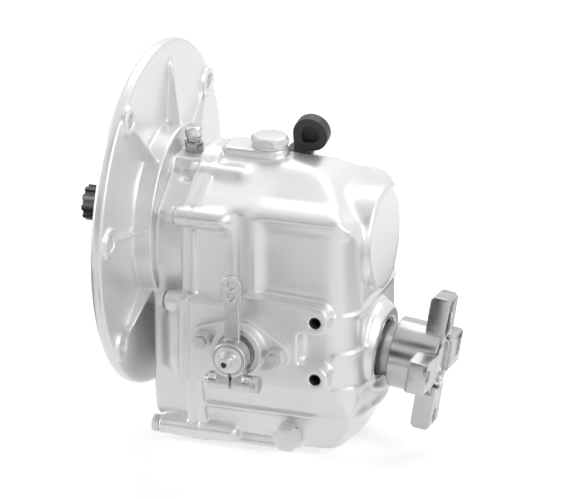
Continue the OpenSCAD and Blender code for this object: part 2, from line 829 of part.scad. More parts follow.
// Oblong seat of the filler plug, round at the plug's end
module filler_boss() {
    r = filler_boss_half_w;
    tail = filler_x - filler_boss_tail;
    nose = filler_x + r;
    translate([0, 0, case_top - filler_boss_root]) linear_extrude(filler_boss_h + filler_boss_root)
        polygon(rounded([
            [tail, -r, filler_tail_round],
            [nose, -r, r - gap],
            [nose, r, r - gap],
            [tail, r, filler_tail_round]
        ], 8));
}
dipstick_plug_d = 12;
dipstick_plug_l = 14;
dipstick_seat_drop = 4.5;
dipstick_seat_z = case_top - dipstick_seat_drop;
// The blade runs down between the clutch cup and the side wall
blade_off_middle = 1.5;
blade_low_y = (cone_d / 2 + cup_wall + case_half_w - case_wall) / 2 - blade_off_middle;
dipstick_lean = atan((blade_low_y - dipstick_y) / (dipstick_seat_z + shaft_drop));
dipstick_boss_wall = 5.5;
module at_dipstick() {
    translate([dipstick_x, dipstick_y, dipstick_seat_z]) rotate([dipstick_lean, 0, 0]) children();
}
module dipstick_boss() {
    at_dipstick() translate([0, 0, -dipstick_plug_l])
        cylinder(d = dipstick_plug_d + 2 * dipstick_boss_wall, h = dipstick_plug_l);
}
// Bore of the dipstick and the flat cut for its handle's foot
module dipstick_hole() {
    flat = [handle_base[0] + 2 * gap, handle_base[1] + 2 * gap, 2 * handle_base[2]];
    translate([0, 0, -far / 10]) cylinder(d = dipstick_plug_d + 2 * running, h = far / 5);
    translate([-flat[0] / 2, -flat[1] / 2, 0]) cube(flat);
}
drain_x = 121;
drain_up = 12.5;
drain_proud = 2.7;
drain_z = -case_depth + drain_up;
drain_y = sump_wall_y(drain_up) + drain_proud;
drain_boss_wall = 3;
drain_spot = 2;
drain_thread_d = 12;
drain_boss_l = 14;
module at_drain() {
    translate([drain_x, -drain_y, drain_z]) children();
}
module drain_boss() {
    at_drain() rod_near(drain_af + 2 * drain_boss_wall, -drain_boss_l, 0);
}
// Walls left round the bores that reach into the rear case
bore_wall = 4;
bore_floor = 4;
idler_boss_wall = 6;
idler_side_gap = 2.5;
idler_tip_gap = 2;
bearing_lip = 8;
bearing_lip_gap = 4;
output_lip = 6;
module rear_hollow() {
    idler_room_d = 2 * (pitch_r(idler_teeth) + addendum + idler_tip_gap);
    difference() {
        rear_form(case_wall);
        rod_x(bearing_boss_d, input_rear_bearing_x, case_rear_x);
        on_output() rod_x(bearing_boss_d, output_rear_bearing_s, output_boss_end_s);
        on_idler() rod_x(idler_shaft_d + 2 * idler_boss_wall, idler_face / 2 + idler_side_gap, far);
        at_dipstick() translate([0, 0, -dipstick_plug_l - case_wall])
            cylinder(d = dipstick_plug_d + 2 * bore_wall, h = 2 * dipstick_plug_l);
        at_drain() rod_near(drain_af + drain_spot, -drain_boss_l, 0);
        at_studs() rod_near(stud_d + 2 * bore_wall, pad_y - stud_depth - case_wall, pad_y);
        at_bracket_holes()
            rod_near(bracket_hole_d + 2 * bore_wall, pad_y - bracket_depth - bore_floor, pad_y);
    }
    prism_x(split_x - over, split_x + 2 * over) polygon(case_section(case_wall));
    rod_x(bearing_od, input_rear_bearing_x - bearing_w, input_rear_bearing_x + bearing_w);
    input_end_x = input_rear_bearing_x + bearing_w + bearing_lip_gap;
    rod_x(bearing_od - 2 * bearing_lip, input_rear_bearing_x, input_end_x);
    on_output() {
        rod_x(bearing_od, output_rear_bearing_s - bearing_w, output_rear_bearing_s + bearing_w);
        rod_x(bearing_od - 2 * output_lip, output_rear_bearing_s, output_boss_end_s + over);
        rod_x(output_seal_od, output_seal_s, output_boss_end_s + over);
    }
    on_idler() {
        rod_x(idler_shaft_d, -idler_face, idler_face / 2 + idler_hold);
        rod_x(idler_room_d, -idler_face, idler_face / 2 + idler_side_gap);
    }
}

// The gasket stays a little inside the joint's edge
gasket_in = 0.8;
module case_gasket() {
    color(paper) difference() {
        prism_x(split_x, split_x + case_gasket_t) union() {
            polygon(case_section(-lip_h + gasket_in));
            at_bolt_outlines() circle(d = case_boss_d - 2 * gasket_in);
        }
        prism_x(split_x - over, split_x + 2 * over) polygon(case_section(case_wall));
        at_case_bolts() rod_x(case_bolt_d + bolt_play, split_x - over, split_x + 2 * over);
        at_dowels() rod_x(dowel_d + bolt_play, split_x - over, split_x + 2 * over);
    }
}
module at_bolt_outlines() {
    for (side = [-1, 1], place = case_bolt_places) translate([side * place[0], place[1]]) children();
}
module case_bolts() {
    color(white_paint) at_case_bolts() {
        hex_x(case_bolt_af, $boss_from - bolt_head_h, $boss_from);
        rod_x(case_bolt_d, $boss_from - eps, split_x + bolt_thread_l);
    }
}
module case_dowels() {
    color(steel) at_dowels() rod_x(dowel_d, split_x - dowel_half_l, split_x + dowel_half_l);
}

// Input shaft and its bearings

spline_groove_w = 4.2;
spline_groove_h = 2.6;
spline_end_x = -8;
spline_run_out = 6;
input_shoulder = 1.5;
module input_shaft() {
    groove_l = input_reach + over + spline_end_x - spline_run_out;
    color(dark_steel) union() {
        difference() {
            rod_x(spline_d, -input_reach, spline_end_x);
            for (k = [0:spline_teeth - 1]) rotate([360 / spline_teeth * k, 0, 0])
                translate([-input_reach - over, -spline_groove_w / 2, spline_d / 2 - spline_groove_h])
                    cube([groove_l, spline_groove_w, 2 * spline_groove_h]);
        }
        rod_x(input_d, spline_end_x - eps, input_rear_bearing_x + bearing_w);
        rod_x(input_d + 2 * input_shoulder, input_front_bearing_x + bearing_w, input_rear_bearing_x);
        spur_gear(forward_pinion_teeth, -90, forward_pinion_from, forward_pinion_to);
        spur_gear(reverse_pinion_teeth, reverse_pinion_phase, reverse_pinion_from, reverse_pinion_to);
    }
}
// Shares of the space between bore and housing taken by the outer ring and the rollers
ring_share = 9 / 26;
roller_share = 5 / 13;
bearing_space = (bearing_od - input_d) / 2;
ring_t = bearing_space * ring_share;
roller_d = bearing_space * roller_share;
roller_count = 16;
roller_in = 2;
outer_track_d = bearing_od - 2 * ring_t;
inner_track_d = outer_track_d - 2 * roller_d - 4 * running;
module bearing_outer(from) {
    tube_x(bearing_od, outer_track_d, from, from + bearing_w);
}
module bearing_inner(bore_d, from) {
    tube_x(inner_track_d, bore_d, from, from + bearing_w);
}
module bearing_rollers(from) {
    for (k = [0:roller_count - 1]) rotate([360 / roller_count * k, 0, 0])
        translate([0, 0, (outer_track_d + inner_track_d) / 4])
            rod_x(roller_d, from + roller_in, from + bearing_w - roller_in);
}
module input_bearing_outer() {
    color(steel) for (x = [input_front_bearing_x, input_rear_bearing_x]) bearing_outer(x);
}
module input_bearing_inner() {
    color(steel) for (x = [input_front_bearing_x, input_rear_bearing_x]) bearing_inner(input_d, x);
}
module input_bearing_rollers() {
    color(chrome) for (x = [input_front_bearing_x, input_rear_bearing_x]) bearing_rollers(x);
}
lip_gap = 0.1;
seal_wall = 2;
seal_slope = 3;
module input_seal() {
    from = input_seal_x;
    lip_r = input_d / 2 + lip_gap;
    body_r = input_seal_od / 2;
    color(rubber) turned_x([
        [lip_r, from + seal_wall],
        [lip_r + seal_slope, from],
        [body_r, from],
        [body_r, from + input_seal_w],
        [body_r - seal_wall, from + input_seal_w],
        [body_r - seal_wall, from + seal_wall],
        [lip_r + seal_slope, from + seal_wall],
        [lip_r, from + 2 * seal_wall]
    ]);
}

// Output shaft, gears and clutch

output_end_d = 30;
nut_from_s = coupling_face_s - coupling_arm_t;
spline_depth = 2.5;
output_spline_count = 6;
output_spline_w = 6;
output_end_in = 3;
// Raised splines on the output shaft, or with a clearance the cut for them
module output_splines(half_l, play) {
    w = output_spline_w + 2 * play;
    for (k = [0:output_spline_count - 1]) rotate([360 / output_spline_count * k, 0, 0])
        translate([-half_l, -w / 2, 0]) cube([2 * half_l, w, output_d / 2 + spline_depth + 4 * play]);
}
module output_shaft() {
    color(steel) on_output() {
        rod_x(output_end_d, output_front_bearing_s, coupling_face_s - output_end_in);
        rod_x(output_d, output_front_bearing_s + bearing_w, output_rear_bearing_s);
        output_splines(gear_hub_from - washer_t + over, 0);
    }
}
module output_bearing_outer() {
    color(steel) on_output() for (s = [output_front_bearing_s, output_rear_bearing_s]) bearing_outer(s);
}
module output_bearing_inner() {
    color(steel) on_output() for (s = [output_front_bearing_s, output_rear_bearing_s])
        bearing_inner(output_end_d, s);
}
module output_bearing_rollers() {
    color(chrome) on_output() for (s = [output_front_bearing_s, output_rear_bearing_s]) bearing_rollers(s);
}
// Wall, lip height and lip slopes of the output seal
output_seal_wall = 1;
output_lip_up = 3.5;
output_lip_flat = 1;
output_lip_slopes = [0.8, 1.2, 2];
module output_seal() {
    from = output_seal_s;
    lip_r = journal_d / 2 + lip_gap;
    body_r = output_seal_od / 2;
    web = from + seal_w - seal_wall;
    color(rubber) on_output() turned_x([
        [lip_r, from + output_lip_up],
        [lip_r, from + output_lip_up + output_lip_flat],
        [lip_r + output_lip_slopes[1], from + seal_w],
        [body_r, from + seal_w],
        [body_r, from],
        [body_r - output_seal_wall, from],
        [body_r - output_seal_wall, web],
        [lip_r + output_lip_slopes[2], web],
        [lip_r + output_lip_slopes[0], from + output_lip_up]
    ]);
}
bush_t = 3;
bush_d = output_d + 2 * bush_t;
gear_hub_wall = 5;
cup_gap = 1.2;
cup_floor = 2;
lever_swing = 35;
// Gear of one direction: toothed rim, web and clutch cup, with the cup open towards the clutch
module free_gear(teeth, phase) {
    cup_open = groove_w / 2 + shift_throw * sin(lever_swing) + cup_gap;
    cone_r = cone_d / 2 + tan(cone_angle) * (cone_gap + groove_w / 2);
    cup_end = gear_hub_from + cup_floor;
    difference() {
        union() {
            spur_gear(teeth, phase, gear_offset - gear_face / 2, gear_offset + gear_face / 2);
            rod_x(cone_d + 2 * cup_wall, cup_open, gear_offset);
            rod_x(bush_d + 2 * gear_hub_wall, gear_hub_from, gear_hub_to);
        }
        rod_x(bush_d, 0, gear_hub_to + over);
        difference() {
            turned_x([[0, 0], [cone_r, 0], [cone_r - tan(cone_angle) * cup_end, cup_end], [0, cup_end]]);
            rod_x(bush_d + 2 * gear_hub_wall, gear_hub_from, gear_hub_to);
        }
    }
}
module forward_gear() {
    color(steel) on_output() mirror([1, 0, 0]) free_gear(forward_gear_teeth, 90 + 180 / forward_gear_teeth);
}
module reverse_gear() {
    color(steel) on_output() free_gear(reverse_gear_teeth, reverse_gear_phase);
}
module gear_bushes() {
    color(bronze) on_output() for (side = [0, 1]) mirror([side, 0, 0])
        tube_x(bush_d - 2 * running, output_d, gear_hub_from, gear_hub_to);
}
thrust_wall = 4;
module thrust_washers() {
    color(bronze) on_output() for (side = [0, 1]) mirror([side, 0, 0])
        tube_x(bush_d + 2 * thrust_wall, output_d, gear_hub_to + running, output_rear_bearing_s - running);
}
module clutch_sleeve() {
    bore_r = output_d / 2 + running;
    cone_r = cone_d / 2;
    end_r = cone_r - tan(cone_angle) * (sleeve_half - groove_w / 2);
    groove_r = cone_r - groove_depth;
    color(steel) on_output() difference() {
        turned_x([
            [bore_r, -sleeve_half],
            [end_r, -sleeve_half],
            [cone_r, -groove_w / 2],
            [groove_r, -groove_w / 2],
            [groove_r, groove_w / 2],
            [cone_r, groove_w / 2],
            [end_r, sleeve_half],
            [bore_r, sleeve_half]
        ]);
        output_splines(sleeve_half + over, running);
    }
}

// Reverse idler

idler_shaft_d = 16;
idler_hold = 20;
module on_idler() {
    translate([idler_x, idler_y, idler_z]) rotate([0, idler_tilt, 0]) children();
}
idler_bush_t = 2;
idler_bush_d = idler_shaft_d + 2 * idler_bush_t;
idler_head_wall = 3;
idler_head_gap = 0.6;
idler_head_t = 3.4;
module idler_gear() {
    color(steel) on_idler() difference() {
        spur_gear(idler_teeth, idler_to_input, -idler_face / 2, idler_face / 2);
        rod_x(idler_bush_d, -idler_face, idler_face);
    }
}
module idler_bush() {
    color(bronze) on_idler()
        tube_x(idler_bush_d, idler_shaft_d + 2 * running, -idler_face / 2, idler_face / 2);
}
module idler_shaft() {
    head_x = -idler_face / 2 - idler_head_gap;
    color(steel) on_idler() {
        rod_x(idler_shaft_d, head_x - idler_head_t / 2, idler_face / 2 + idler_hold);
        rod_x(idler_shaft_d + 2 * idler_head_wall, head_x - idler_head_t, head_x);
    }
}

// Output coupling

coupling_edge = 2.4;
coupling_hub_edge = 0.8;
coupling_recess = 2;
coupling_hub_wall = 6;
coupling_nut_af = 34.2;
coupling_nut_in = 1;
module at_coupling_arms() {
    for (k = [0:3]) rotate([90 * k, 0, 0]) children();
}
module output_coupling() {
    face = coupling_face_s;
    back = face - coupling_arm_t;
    hub_from = back - coupling_hub_l;
    hub_r = coupling_hub_d / 2;
    color(chrome) on_output() rotate([coupling_turn, 0, 0]) difference() {
        union() {
            turned_x([
                [0, hub_from],
                [hub_r - coupling_hub_edge, hub_from],
                [hub_r, hub_from + coupling_hub_edge],
                [hub_r, face - coupling_recess],
                [0, face - coupling_recess]
            ]);
            rod_x(journal_d, output_rear_bearing_s + bearing_w, hub_from + over);
            at_coupling_arms() coupling_arm(back, face);
        }
        rod_x(output_end_d, 0, face + over);
        rod_x(coupling_hub_d - 2 * coupling_hub_wall, back, face + over);
        at_coupling_arms() translate([0, 0, coupling_pcd / 2])
            rod_x(coupling_hole_d, back - over, face + over);
    }
}
// One arm, with its outer edges bevelled
module coupling_arm(back, face) {
    rotate([90, 0, 0]) translate([0, 0, -coupling_arm_w / 2]) linear_extrude(coupling_arm_w) polygon([
        [back, 0],
        [face, 0],
        [face, coupling_reach - coupling_edge],
        [face - coupling_edge, coupling_reach],
        [back + coupling_edge, coupling_reach],
        [back, coupling_reach - coupling_edge]
    ]);
}
module coupling_nut() {
    color(zinc) on_output() difference() {
        hex_x(coupling_nut_af, nut_from_s, coupling_face_s - coupling_nut_in);
        rod_x(output_end_d, nut_from_s - over, coupling_face_s);
    }
}

// Selector cover and shift shaft

cover_t = 6;
cover_rise = 2.5;
cover_gasket_t = 0.5;
cover_from = pad_y + cover_gasket_t;
cover_face = cover_from + cover_t;
cover_boss_d = 37;
cover_boss_h = 9;
cover_boss_to = cover_face + cover_boss_h;
shaft_bush_d = 27.5;
shaft_bush_in = 8;
shaft_bush_proud = 1;
shaft_bush_play = 0.6;
shaft_bush_from = cover_boss_to - shaft_bush_in;
shaft_bush_to = cover_boss_to + shaft_bush_proud;
cover_rim = 3;
stud_rim = 5.5;
rise_in = 13;
groove_from = 2;
groove_l = 3;
groove_wall = 3;
groove_y = cover_from + groove_from;
module at_studs() {
    on_shift() for (side = [-1, 1]) translate([side * stud_pitch / 2, 0, 0]) children();
}
module cover_outline() {
    hull() {
        circle(d = cover_boss_d + 2 * cover_rim, $fn = 48);
        for (side = [-1, 1]) translate([side * stud_pitch / 2, 0])
            circle(d = stud_d + 2 * stud_rim, $fn = 32);
    }
}
// Raised form between the boss and the studs
module cover_rise_outline() {
    hull() {
        circle(d = cover_boss_d + over, $fn = 48);
        for (side = [-1, 1]) translate([side * (stud_pitch / 2 - rise_in), 0]) circle(d = stud_d, $fn = 32);
    }
}
module selector_cover() {
    color(white_paint) difference() {
        union() {
            on_shift() prism_near(cover_from, cover_face) cover_outline();
            on_shift() prism_near(cover_face - over, cover_face + cover_rise) cover_rise_outline();
            on_shift() rod_near(cover_boss_d, cover_face - over, cover_boss_to);
        }
        on_shift() rod_near(shift_d + 2 * running, cover_from - over, cover_boss_to + over);
        on_shift() rod_near(shaft_bush_d, shaft_bush_from, cover_boss_to + over);
        on_shift() rod_near(shift_d + 2 * groove_wall, groove_y, groove_y + groove_l);
        at_studs() rod_near(stud_d + bolt_play, cover_from - over, cover_face + over);
    }
}
module cover_gasket() {
    color(paper) difference() {
        on_shift() prism_near(pad_y, cover_from) cover_outline();
        on_shift() rod_near(shift_d + 2 * gap, pad_y - over, cover_from + over);
        at_studs() rod_near(stud_d + bolt_play, pad_y - over, cover_from + over);
    }
}
nut_h = 6.5;
nut_af = 13;
stud_depth = 12;
stud_tip = 3;
module cover_studs() {
    color(zinc) at_studs() rod_near(stud_d, pad_y - stud_depth, cover_face + nut_h + stud_tip);
}
module cover_nuts() {
    color(zinc) at_studs() difference() {
        translate([0, -cover_face, 0]) rotate([90, 0, 0]) cylinder(d = nut_af / cos(30), h = nut_h, $fn = 6);
        rod_near(stud_d, cover_face - over, cover_face + nut_h + over);
    }
}
module shaft_bush() {
    color(zinc) on_shift() difference() {
        rod_near(shaft_bush_d - shaft_bush_play, shaft_bush_from, shaft_bush_to);
        rod_near(shift_d + 2 * running, shaft_bush_from - over, shaft_bush_to + over);
    }
}
o_ring_d = 2.8;
o_ring_out = 1.55;
module shaft_o_ring() {
    color(rubber) on_shift() translate([0, -groove_y - groove_l / 2, 0]) rotate([90, 0, 0])
        rotate_extrude() translate([shift_d / 2 + o_ring_out, 0]) circle(d = o_ring_d, $fn = 24);
}
shift_inner_y = 44;
shoe_inner_y = 28;
shoe_outer_y = 39;
shoe_h = 14;
shoe_play = 0.7;
shaft_proud = 0.5;
pin_short = 2;
// Steps of the shaft's front end: diameter and length
shift_nub = [[13, 3], [9, 7]];
shift_nub_bore = 4;
module shift_shaft() {
    nub_end = lever_front_y + shift_nub[0][1] + shift_nub[1][1];
    color(zinc) on_shift() difference() {
        union() {
            rod_near(shift_d, shift_inner_y, lever_front_y + shaft_proud);
            rod_near(shift_nub[0][0], lever_front_y, lever_front_y + shift_nub[0][1]);
            rod_near(shift_nub[1][0], lever_front_y, nub_end);
            translate([0, 0, -shift_throw])
                rod_near(shift_pin_d, shoe_inner_y + pin_short, shift_inner_y + over);
        }
        rod_near(shift_nub_bore, lever_front_y + over, nub_end + over);
    }
}
module shift_shoe() {
    shoe_w = groove_w - shoe_play;
    color(bronze) on_shift() translate([0, 0, -shift_throw]) difference() {
        translate([-shoe_w / 2, -shoe_outer_y, -shoe_h / 2])
            cube([shoe_w, shoe_outer_y - shoe_inner_y, shoe_h]);
        rod_near(shift_pin_d + 2 * running, shoe_inner_y - over, shoe_outer_y + over);
    }
}

// Lever with a split clamp hub

lever_bar_from = lever_front_y - lever_hub_l + over;
lever_web_t = 3.8;
lever_top_w = 15;
lever_top_in = 8;
clamp_drop = 18.5;
clamp_d = 12;
clamp_half = 16;
clamp_block = [20, 11, 10.5];
clamp_slit = 2.2;
clamp_slit_x = 1;
clamp_bolt_d = 6;
clamp_bolt_af = 11.4;
clamp_bolt_head = 5;
clamp_bolt_tip = 3;
module on_lever() {
    rise = [shift_rise * sin(output_tilt), 0, shift_rise * cos(output_tilt)];
    translate([clutch_x, 0, -shaft_drop] + rise) children();
}
module on_clamp() {
    translate([0, -lever_front_y + lever_hub_l / 2, -clamp_drop]) children();
}
module shift_lever() {
    slit_end = -clamp_drop - clamp_d;
    color(zinc) on_lever() difference() {
        union() {
            rod_near(lever_hub_d, lever_front_y - lever_hub_l, lever_front_y);
            prism_near(lever_bar_from, lever_bar_from + lever_web_t)
                translate([-lever_bar_w / 2, 0]) square([lever_bar_w, lever_hole_r]);
            prism_near(lever_bar_from, lever_bar_from + lever_bar_t) lever_head_outline();
            on_clamp() rod_x(clamp_d, -clamp_half, clamp_half);
            on_clamp() translate([-clamp_block[0] / 2, -clamp_block[1] / 2, 0]) cube(clamp_block);
        }
        rod_near(shift_d, lever_front_y - lever_hub_l - over, lever_front_y + over);
        translate([clamp_slit_x - clamp_slit / 2, -lever_front_y - over, slit_end])
            cube([clamp_slit, lever_hub_l + 2 * over, -slit_end - shift_d / 2 + over]);
        on_clamp() rod_x(clamp_bolt_d, -clamp_half - over, clamp_half + over);
        for (r = [lever_hole_r, lever_hole_r - lever_hole_pitch]) translate([0, 0, r])
            rod_near(lever_hole_d, lever_bar_from - over, lever_front_y);
    }
}
// Long rounded head round the two cable holes
module lever_head_outline() {
    hull() for (r = [lever_hole_r, lever_hole_r - lever_hole_pitch])
        translate([0, r]) circle(d = lever_top_w);
}
module lever_clamp_bolt() {
    color(zinc) on_lever() on_clamp() {
        rod_x(clamp_bolt_d, -clamp_half - clamp_bolt_tip, clamp_half + over);
        hex_x(clamp_bolt_af, clamp_half, clamp_half + clamp_bolt_head);
    }
}

// Fittings

plug_washer_t = 1.2;
plug_collar_h = 1.5;
plug_thread_l = 14;
filler_hex_h = 5.5;
filler_top_d = 22.7;
filler_bevel_h = 2.2;
filler_rim = 0.5;
module filler_plug() {
    base = filler_boss_top + plug_washer_t;
    corner_r = filler_af / 2 / cos(30);
    color(white_paint) translate([filler_x, 0, base]) {
        cylinder(d = filler_af + 2 * filler_rim, h = plug_collar_h);
        translate([0, 0, plug_collar_h - eps]) intersection() {
            cylinder(r = corner_r, h = filler_hex_h, $fn = 6);
            rotate_extrude() polygon([
                [0, 0],
                [corner_r + over, 0],
                [corner_r, filler_hex_h - filler_bevel_h],
                [filler_top_d / 2, filler_hex_h],
                [0, filler_hex_h]
            ]);
        }
        translate([0, 0, -plug_thread_l]) cylinder(d = filler_thread_d, h = plug_thread_l + over);
    }
}
module filler_washer() {
    color(bronze) translate([filler_x, 0, filler_boss_top]) difference() {
        cylinder(d = filler_af + 2 * filler_rim, h = plug_washer_t);
        translate([0, 0, -over]) cylinder(d = filler_thread_d, h = plug_washer_t + 2 * over);
    }
}
drain_collar_h = 2;
drain_hex_h = 7.4;
drain_thread_l = 11;
drain_rim = 1.5;
module drain_plug() {
    color(white_paint) at_drain() {
        rod_near(drain_af + 2 * drain_rim, plug_washer_t, plug_washer_t + drain_collar_h);
        translate([0, -plug_washer_t - over, 0]) rotate([90, 0, 0])
            cylinder(d = drain_af / cos(30), h = drain_hex_h + over, $fn = 6);
        rod_near(drain_thread_d, -drain_thread_l, plug_washer_t + over);
    }
}
module drain_washer() {
    color(bronze) at_drain() difference() {
        rod_near(drain_af + 2 * drain_rim, 0, plug_washer_t);
        rod_near(drain_thread_d, -over, plug_washer_t + over);
    }
}
breather_af = 12.4;
breather_hex_h = 7;
breather_thread_l = 10;
breather_stem_d = 8;
breather_stem_h = 0.6;
// Outline of the breather's cap: radius and height
breather_cap_points = [[0, 0], [5.2, 0], [5.2, 1.2], [6.2, 3.4], [6.4, 5], [6.4, 9.6], [5.7, 11], [0, 11.4]];
module breather_base() {
    color(dark_steel) translate([breather_x, 0, breather_boss_top]) {
        cylinder(d = breather_af / cos(30), h = breather_hex_h, $fn = 6);
        translate([0, 0, -breather_thread_l]) cylinder(d = breather_thread_d, h = breather_thread_l + over);
        cylinder(d = breather_stem_d, h = breather_hex_h + breather_stem_h);
    }
}
module breather_cap() {
    color(chrome) translate([breather_x, 0, breather_boss_top + breather_hex_h + breather_stem_h])
        rotate_extrude() polygon(breather_cap_points);
}
handle_d = 26;
handle_t = 9;
handle_base = [18, 14, 5];
handle_base_round = 5;
handle_offset = 9;
handle_eye_d = 13;
handle_web_t = 4;
handle_ring_z = handle_base[2] + handle_d / 2;
// Round outline whose lower left quarter is squared off
module handle_outline(d) {
    circle(d = d);
    translate([-d / 2, -d / 2]) square(d / 2);
}
module on_handle(from_y) {
    translate([handle_offset, from_y, handle_ring_z]) rotate([90, 0, 0]) children();
}
module dipstick_handle() {
    half = [handle_base[0] / 2, handle_base[1] / 2];
    color(black_plastic) at_dipstick() difference() {
        union() {
            linear_extrude(handle_base[2]) polygon(rounded([
                [-half[0], -half[1], handle_base_round],
                [half[0], -half[1], handle_base_round],
                [half[0], half[1], handle_base_round],
                [-half[0], half[1], handle_base_round]
            ]));
            translate([0, 0, -dipstick_plug_l]) cylinder(d = dipstick_plug_d, h = dipstick_plug_l + over);
            on_handle(handle_t / 2) linear_extrude(handle_t) handle_outline(handle_d);
            translate([handle_offset - handle_d / 2, -handle_t / 2, over])
                cube([handle_d / 2, handle_t, handle_base[2]]);
        }
        on_handle(handle_t / 2 - handle_web_t) linear_extrude(handle_t) handle_outline(handle_eye_d);
        translate([0, 0, -o_ring_drop - ring_groove_l / 2]) o_ring_groove();
        blade_form();
    }
}
o_ring_drop = 7.5;
ring_groove_l = 3;
ring_groove_depth = 2;
stick_ring_d = 1.9;
stick_ring_in = 1;
module o_ring_groove() {
    difference() {
        cylinder(d = dipstick_plug_d + 2 * over, h = ring_groove_l);
        translate([0, 0, -over])
            cylinder(d = dipstick_plug_d - 2 * ring_groove_depth, h = ring_groove_l + 2 * over);
    }
}
module dipstick_o_ring() {
    color(rubber) at_dipstick() translate([0, 0, -o_ring_drop]) rotate_extrude()
        translate([dipstick_plug_d / 2 - stick_ring_in, 0]) circle(d = stick_ring_d, $fn = 24);
}
// The blade ends a little above where the side walls draw in
blade_tip_gap = 12;
blade_l = (dipstick_seat_z + sump_start - blade_tip_gap) / cos(dipstick_lean) - dipstick_plug_l;
blade_w = 5;
blade_t = 1.5;
blade_hold = 3.5;
module blade_form() {
    translate([-blade_w / 2, -blade_t / 2, -dipstick_plug_l - blade_l])
        cube([blade_w, blade_t, blade_l + blade_hold]);
}
module dipstick_blade() {
    color(steel) at_dipstick() blade_form();
}

front_case();
rear_case();
case_gasket();
case_bolts();
case_dowels();
input_shaft();
input_bearing_outer();
input_bearing_inner();
input_bearing_rollers();
input_seal();
output_shaft();
output_bearing_outer();
output_bearing_inner();
output_bearing_rollers();
output_seal();
forward_gear();
reverse_gear();
gear_bushes();
thrust_washers();
clutch_sleeve();
idler_gear();
idler_bush();
idler_shaft();
output_coupling();
coupling_nut();
selector_cover();
cover_gasket();
cover_studs();
cover_nuts();
shaft_bush();
shaft_o_ring();
shift_shaft();
shift_shoe();
shift_lever();
lever_clamp_bolt();
filler_plug();
filler_washer();
drain_plug();
drain_washer();
breather_base();
breather_cap();
dipstick_handle();
dipstick_blade();
dipstick_o_ring();
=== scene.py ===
# %% [markdown]
# # A small marine gearbox
# This gearbox bolts to the back of a boat engine and hands its power to the propeller shaft, forwards,
# backwards or not at all. The imported CAD model already has every gear, bolt and bearing in place.
# This lesson gives that model its looks: soft cast edges, gloss paint, zinc, chrome and turned steel.
# We load the model first and keep its box, so that at the end we can print how much it grew.

# %% Load the imported model and keep its box
import json
import math

import bmesh
import bpy
import numpy as np
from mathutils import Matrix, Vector


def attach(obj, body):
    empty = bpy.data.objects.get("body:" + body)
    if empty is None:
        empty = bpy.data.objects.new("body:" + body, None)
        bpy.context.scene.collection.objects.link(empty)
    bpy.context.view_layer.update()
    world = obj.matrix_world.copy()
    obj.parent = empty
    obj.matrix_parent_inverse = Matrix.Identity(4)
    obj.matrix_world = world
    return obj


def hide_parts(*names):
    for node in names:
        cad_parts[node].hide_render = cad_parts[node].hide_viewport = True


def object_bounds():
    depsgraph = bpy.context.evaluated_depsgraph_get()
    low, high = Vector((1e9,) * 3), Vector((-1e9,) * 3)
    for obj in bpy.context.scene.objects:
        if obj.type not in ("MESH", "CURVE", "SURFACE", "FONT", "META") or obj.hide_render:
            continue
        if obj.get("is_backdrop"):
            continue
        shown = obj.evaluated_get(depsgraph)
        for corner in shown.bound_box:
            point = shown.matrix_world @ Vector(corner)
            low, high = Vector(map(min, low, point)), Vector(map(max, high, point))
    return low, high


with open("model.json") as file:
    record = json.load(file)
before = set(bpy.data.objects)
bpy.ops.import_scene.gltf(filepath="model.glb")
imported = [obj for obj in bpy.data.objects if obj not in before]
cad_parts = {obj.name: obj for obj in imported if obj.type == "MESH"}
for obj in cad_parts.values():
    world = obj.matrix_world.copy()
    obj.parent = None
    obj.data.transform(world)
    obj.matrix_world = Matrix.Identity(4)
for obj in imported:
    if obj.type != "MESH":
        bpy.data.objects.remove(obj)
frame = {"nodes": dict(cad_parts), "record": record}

cad_low, cad_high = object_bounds()
cad_nodes = frame["nodes"]
body_of_node = {n: b for b, members in frame["record"]["behaviour"]["bodies"].items() for n in members}
slot_of_node = {s["node"]: s["material_slot"] for s in frame["record"]["subparts"]}
print("CAD box in mm:", [round(1000 * v, 1) for v in (*cad_low, *cad_high)], "nodes:", len(cad_nodes))

# %% [markdown]
# ## The photographer's place
# Product photographs are taken with a long lens from a few metres away, which keeps the sides of a
# casting almost parallel. We could nudge a camera by eye, but the angle was worked out from the round
# flange and the four coupling arms, so the numbers below put the camera where the photographer stood.

# %% Camera
VIEW_TURN = math.radians(18.74)
VIEW_RISE = math.radians(20.87)
VIEW_DISTANCE = 2.703
IMAGE_WIDTH = 562
FOCAL_PIXELS = 3759
FILM_WIDTH = 36
AIM = Vector((0.0978, 0.0, -0.0190))

to_camera = Vector((
    math.sin(VIEW_TURN) * math.cos(VIEW_RISE),
    -math.cos(VIEW_TURN) * math.cos(VIEW_RISE),
    math.sin(VIEW_RISE),
))
lens = bpy.data.cameras.new("photo_camera")
lens.sensor_fit = "HORIZONTAL"
lens.sensor_width = FILM_WIDTH
lens.lens = FOCAL_PIXELS * FILM_WIDTH / IMAGE_WIDTH
camera = bpy.data.objects.new("photo_camera", lens)
camera.location = AIM + VIEW_DISTANCE * to_camera
camera.rotation_euler = to_camera.to_track_quat("Z", "Y").to_euler()
bpy.context.scene.collection.objects.link(camera)
bpy.context.scene.camera = camera
bpy.context.scene.view_settings.view_transform = "Standard"
print("camera at", [round(v, 3) for v in camera.location], "lens", round(lens.lens, 1), "mm")

# %% [markdown]
# ## The studio
# The real object stands on white paper under large soft boxes. A white floor that is only lit would
# look grey where the light falls off, and more light would burn out the white paint. So the floor gets
# a little glow of its own, seen by camera, mirror and glass rays only. It adds nothing to the light on
# the gearbox, and the shadow under the sump stays.

# %% White floor with a lift that only the camera sees
FLOOR_HALF = 6.0
FLOOR_GAP = 0.0002
FLOOR_LIFT = 0.5
FLOOR_CELLS = 8
PAPER_COLOUR = (0.86, 0.86, 0.86, 1)
PURE_WHITE = (1, 1, 1, 1)
DULL = 0.9


